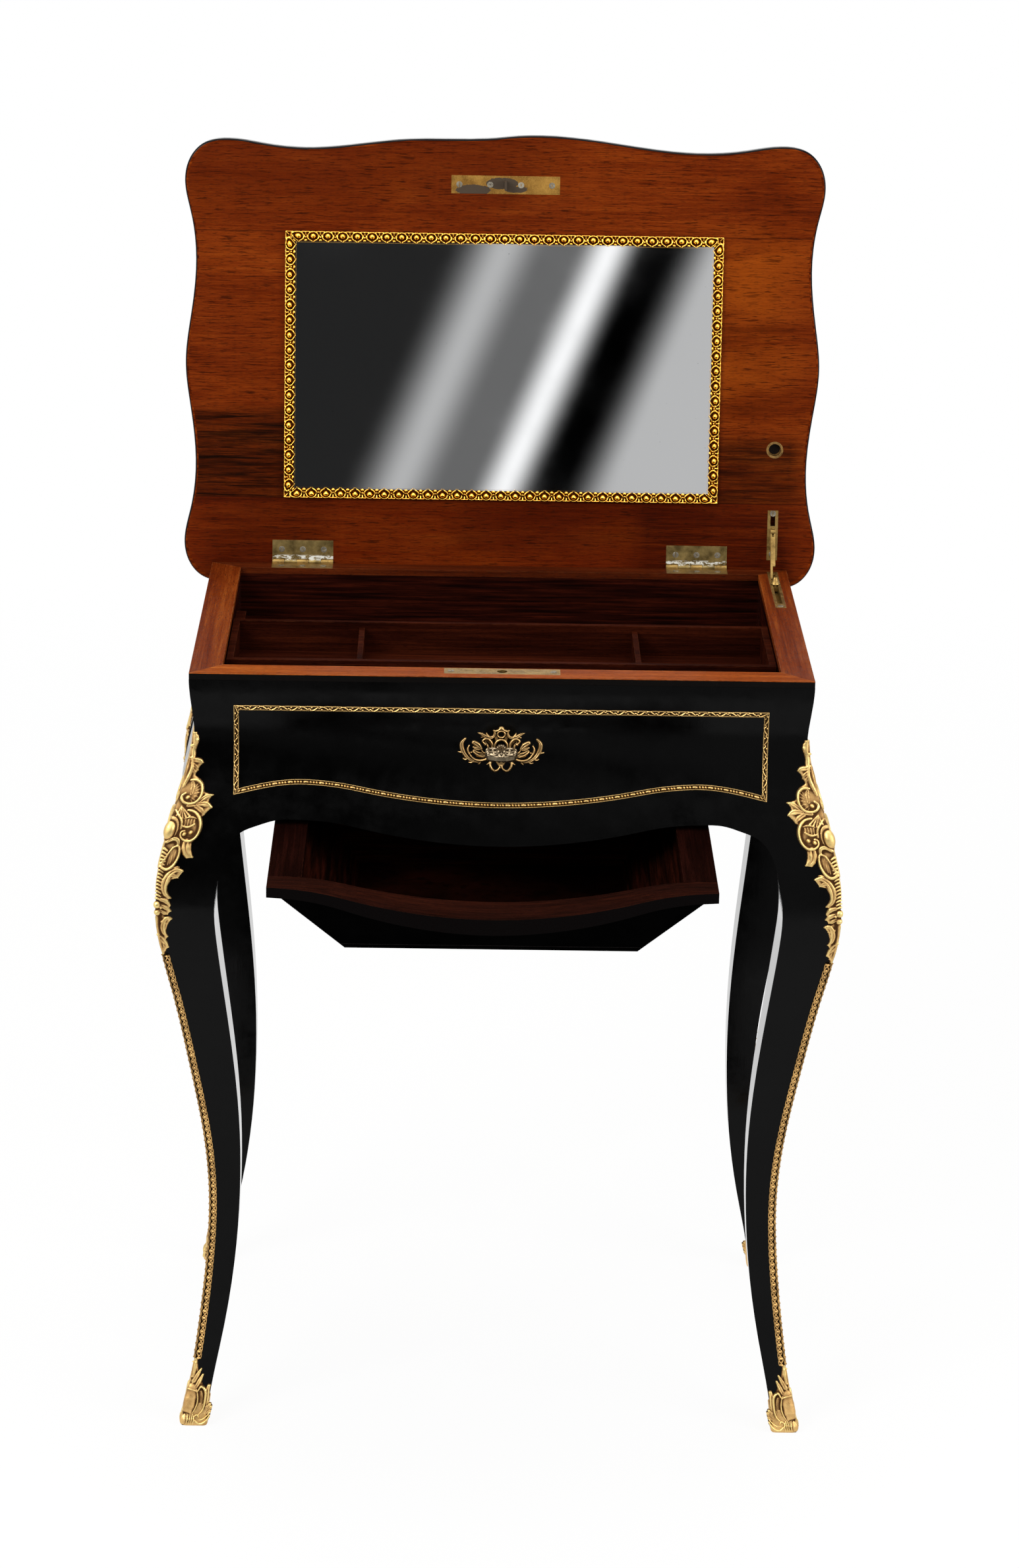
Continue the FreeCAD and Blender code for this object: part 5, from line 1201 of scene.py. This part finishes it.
def slotted_heads(name, node, body, across, up, out):
    """Two half moons on each screw head; out is the way that the heads face."""
    spots = np.array([v.co for v in nodes[node].data.vertices]) / MM
    flat = np.stack([spots @ across, spots @ up], -1)
    tall = spots @ out
    groups, spread = [], 7.0
    for number, spot in enumerate(flat):
        near = [group for group in groups if np.linalg.norm(flat[group[0]] - spot) < spread]
        near[0].append(number) if near else groups.append([number])
    corners, faces = [], []
    for number, group in enumerate(groups):
        top = tall[group].max()
        head = flat[group][tall[group] > top - 0.05]
        low, high = head.min(0), head.max(0)
        middle, radius = (low + high) / 2, (high - low).max() / 2
        turn = math.radians(60 + 67 * number)
        along_slot = np.array([math.cos(turn), math.sin(turn)])
        beside = np.array([-along_slot[1], along_slot[0]])
        for side in (1, -1):
            arc = np.linspace(0.2, math.pi - 0.2, 9)[:, None]
            ring = middle + 0.94 * radius * (np.cos(arc) * along_slot + side * np.sin(arc) * beside)
            first = len(corners)
            for rise in (-0.2, 0.25):
                corners += [a * across + b * up + (top + rise) * out for a, b in ring]
            count = len(ring)
            under, over = (list(range(start, start + count)) for start in (first, first + count))
            faces += [under[::-1], over] if side > 0 else [under, over[::-1]]
            for k in range(count):
                quad = [under[k], under[(k + 1) % count], over[(k + 1) % count], over[k]]
                faces.append(quad if side > 0 else quad[::-1])
    mesh = bpy.data.meshes.new(name)
    mesh.from_pydata([tuple(c * MM) for c in corners], [], faces)
    dress(stand(name, mesh), body, "screw_steel", "screw_steel")


slotted_heads("lid_screw_heads", "lid_screws", "lid", X, lid_up, lid_out)
slotted_heads("case_screw_heads", "case_screws", "case", X, Y, Z)


# Key: chased bow, the same above and below, and a fluted rosette on its neck


def bow_relief():
    """Half of the bow; v is the distance along Y, from its tip to the neck."""
    r = Relief((0, 14.9), (-220.6, -192.4), 0.4)
    r.sheet([(-2, -219.8), (4, -219.6), (8, -217), (12.4, -216), (13.6, -211.6), (11.6, -207.6),
             (14.2, -204), (13.4, -199), (8.8, -196.8), (4.6, -193.4), (-2, -193)], 0.9)
    r.arc((7.4, -203), (4.2, 4.0), -60, 240, [0.7, 1.1, 1.1, 0.7], [1.8, 2.6, 2.6, 1.6])
    r.arc((6.8, -212.4), (3.8, 3.8), -150, 150, [0.7, 1.1, 1.1, 0.7], [1.8, 2.6, 2.6, 1.6])
    for spot in ((7.4, -203), (6.8, -212.4), (12.2, -208), (2.6, -207.6), (2.0, -217.6), (10.4, -198.6),
                 (12.6, -202), (11.6, -213.4)):
        r.dome(spot, (1.3, 1.4), 2.8)
    r.leaf([(0, -194), (2.0, -199.6), (0.6, -205), (0, -210)], [1.4, 1.8, 1.5, 0.7], [2.4, 2.8, 2.6, 1.8])
    r.stroke([(0, -214), (2.8, -216.6), (0.8, -219.2)], [0.9, 1.2, 0.7], [2.2, 2.6, 1.6])
    return r


def rosette_relief():
    """Half of the rosette, seen along the key."""
    r = Relief((0, 5.2), (649.8, 660.2), 0.3)
    r.dome((0, key_height), (4.5, 4.5), 1.4, "plate")
    for angle in range(0, 360, 30):
        c, s = math.cos(math.radians(angle)), math.sin(math.radians(angle))
        r.stroke([(reach * c, key_height + reach * s) for reach in (1.6, 3.6)], [0.4, 1.0], [1.8, 2.2])
    r.dome((0, key_height), (1.3, 1.3), 2.6)
    return r


bow = bow_relief()
for name, relief, surface, radius in (
        ("key_bow_chasing", bow, plane("z", key_height + 1.5, 1), 1.0),
        ("key_bow_chasing_below", bow, plane("z", key_height - 1.5, -1), 1.0),
        ("key_rosette", rosette_relief(), plane("y", -190.2, -1), 0.8)):
    dress(mirrored(name, relief, surface, radius), "key", "key_steel", "key_steel_chased")


# Brass frames on the case


def moulding_pattern(kind, length, widths, step):
    """Running scrolls, or beads and reels, between two fine edges."""
    r = Relief((widths[0], widths[-1]), (0, length), step)
    r.heights[:] = 0.5
    for edge in (-1.95, 1.95):
        r.stroke([(edge, 0), (edge, length)], [0.4], 1.6)
    if kind == "beads":
        count = max(1, round(length / 14.0))
        pitch = length / count
        for number in range(count):
            v = (number + 0.5) * pitch
            r.dome((0, v), (1.3, 2.8), 2.1)
            for away in (-4.3, 4.3, 7.0):
                r.dome((0, v + away), (1.15, 1.15), 2.0)
        return r
    count = max(1, round(length / 9.0))
    pitch = length / count
    for number in range(count):
        v, side = number * pitch, 1 if number % 2 else -1
        r.stroke([(-1.2 * side, v), (0.9 * side, v + pitch * 0.3), (1.2 * side, v + pitch * 0.7),
                  (0.2 * side, v + pitch * 0.8), (1.2 * side, v + pitch)], [0.45, 0.6, 0.6, 0.5, 0.45],
                 [1.4, 1.9, 1.9, 1.8, 1.4])
        r.dome((-0.9 * side, v + pitch * 0.62), (0.7, 1.0), 1.7)
    return r


def case_moulding(name, axis, sign, half, dip, replaced):
    """Moulding frame with a wavy foot, on one side of the case."""
    half_band, margin, hump_inset = 2.35, 39.0, 96.0
    side, hump = half - (margin + half_band), half - hump_inset
    top, low, rise = 691.0 - half_band, 611.0 + half_band, 620.0 + half_band
    slope = (1, 0), (0.893, 0.04), (0.77, 0.18), (0.646, 0.405), (0.34, 0.83)
    wave = [(hump * across, rise - dip * drop) for across, drop in slope]
    foot = [(-side, low)] + [(-x, z) for x, z in wave] + [(0, rise - dip)] + wave[::-1] + [(side, low)]
    corners = [(side, low), (side, top), (-side, top), (-side, low)]
    sides = [(foot, "beads")] + [([a, b], "scrolls") for a, b in zip(corners, corners[1:])]
    piece = ring(name, sides, half_band, 0.39, moulding_pattern, face(axis, sign), 0.0)
    dress(piece, "case", "gilt_bronze", "gilt_bronze_dull", replaced)


for side, axis, sign, half, dip, replaced in (
        ("front", "y", -1, half_width, 17.5, "moulding_front"),
        ("back", "y", 1, half_width, 17.5, "moulding_back"),
        ("right", "x", 1, half_depth, 7.5, "mouldings_side"),
        ("left", "x", -1, half_depth, 7.5, "mouldings_side")):
    case_moulding("moulding_scrolls_" + side, axis, sign, half, dip, replaced)


# Camera, light and floor


def make_camera():
    place = Vector((-0.0447, -3.909, 1.817))
    focal_length, picture_height = 6730.9, 2380
    yaw, pitch, roll = map(math.radians, (0.8105, 17.80, 1.0494))
    ahead = Vector((math.sin(yaw) * math.cos(pitch), math.cos(yaw) * math.cos(pitch), -math.sin(pitch)))
    level_right = Vector((math.cos(yaw), -math.sin(yaw), 0))
    level_up = level_right.cross(ahead)
    right = level_right * math.cos(roll) + level_up * math.sin(roll)
    up = level_up * math.cos(roll) - level_right * math.sin(roll)
    data = bpy.data.cameras.new("camera")
    data.sensor_width = 36.0
    data.lens = focal_length / picture_height * data.sensor_width
    data.clip_end = 60.0
    camera = stand("camera", data)
    turned = Matrix((right, up, -ahead)).transposed().to_4x4()
    camera.matrix_world = Matrix.Translation(place) @ turned
    bpy.context.scene.camera = camera


def make_world():
    """White to the camera and in reflections, softer as light."""
    sky = Nodes(bpy.data.worlds.new("studio"))
    shaders = []
    for strength in (0.5, 1.0):
        background = sky.add("ShaderNodeBackground")
        sky.feed(background.inputs["Color"], (1, 1, 1, 1))
        sky.feed(background.inputs["Strength"], strength)
        shaders.append(background.outputs[0])
    out = sky.add("ShaderNodeOutputWorld")
    sky.feed(out.inputs[0], sky.mix_shaders(sky.seen(), *shaders))
    bpy.context.scene.world = sky.owner


def board(name, corners):
    """One plain face, and the material that is to be built for it."""
    mesh = bpy.data.meshes.new(name)
    mesh.from_pydata(corners, [], [(0, 1, 2, 3)])
    paint = Paint("studio_" + name)
    mesh.materials.append(paint.owner)
    return stand(name, mesh), paint


def make_floor():
    """Pale floor. To the eye and in reflections it is mostly plain white, and it keeps a shadow."""
    reach, fade = 30.0, 4000.0
    corners = [(-reach, -reach, 0), (reach, -reach, 0), (reach, reach, 0), (-reach, reach, 0)]
    floor, paint = board("floor", corners)
    far = paint.ramp(paint.ratio(paint.length(paint.x, paint.y), fade), (0.2, 0.93), (0.7, 1.0))
    glow = paint.add("ShaderNodeEmission")
    paint.feed(glow.inputs["Strength"], 1.0)
    share = paint.times(paint.seen(), far)
    paint.feed(paint.surface, paint.mix_shaders(share, paint.shader.outputs[0], glow.outputs[0]))
    rough = paint.ramp(paint.noise(300.0), (0.3, 0.8), (0.7, 0.95))
    paint.finish((242, 241, 239), rough, Specular_IOR_Level=0.2)


def lamp(name, place, target, size, power):
    """Soft rectangular light, from a place towards a target."""
    data = bpy.data.lights.new(name, "AREA")
    data.shape = "RECTANGLE"
    data.size, data.size_y = size
    data.energy = power
    light = stand(name, data)
    light.location = place
    light.rotation_mode = "QUATERNION"
    light.rotation_quaternion = (Vector(target) - Vector(place)).to_track_quat("-Z", "Y")


def make_flag():
    """Studio flag in front: seen only in gloss, it gives the mirror and the polish their tones."""
    x, y, low, high = 0.9, -1.6, 0.02, 1.1
    flag, paint = board("flag", [(-x, y, low), (x, y, low), (x, y, high), (-x, y, high)])
    slant, middle, reach = -0.43, 900.0, 400.0
    lean = paint.scaled(paint.minus(paint.z, middle), slant, paint.x)
    share = paint.ratio(paint.plus(lean, reach), 2 * reach)
    shown = paint.ramp(share, (0.34, 0.157), (0.44, 0.706), (0.515, 0.404), (0.558, 0.404), (0.618, 1.0),
                       (0.69, 0.014), (0.708, 0.014), (0.806, 0.72))
    shown.node.color_ramp.interpolation = "EASE"
    glow = paint.add("ShaderNodeEmission")
    paint.feed(glow.inputs["Color"], paint.math("POWER", shown, 2.2))
    paint.feed(paint.surface, glow.outputs[0])
    flag.visible_camera = flag.visible_diffuse = flag.visible_shadow = False
    flag.visible_transmission = flag.visible_volume_scatter = False


make_camera()
make_world()
make_floor()
make_flag()
lamp("key", (-2.2, -2.6, 2.9), (0, 0, 0.6), (1.8, 1.8), 90.0)
lamp("fill", (2.6, -1.8, 1.8), (0, 0, 0.6), (1.8, 1.8), 45.0)
lamp("top", (0, 0.2, 3.2), (0, 0, 0.6), (2.4, 2.4), 45.0)
bpy.context.scene.view_settings.view_transform = "Standard"
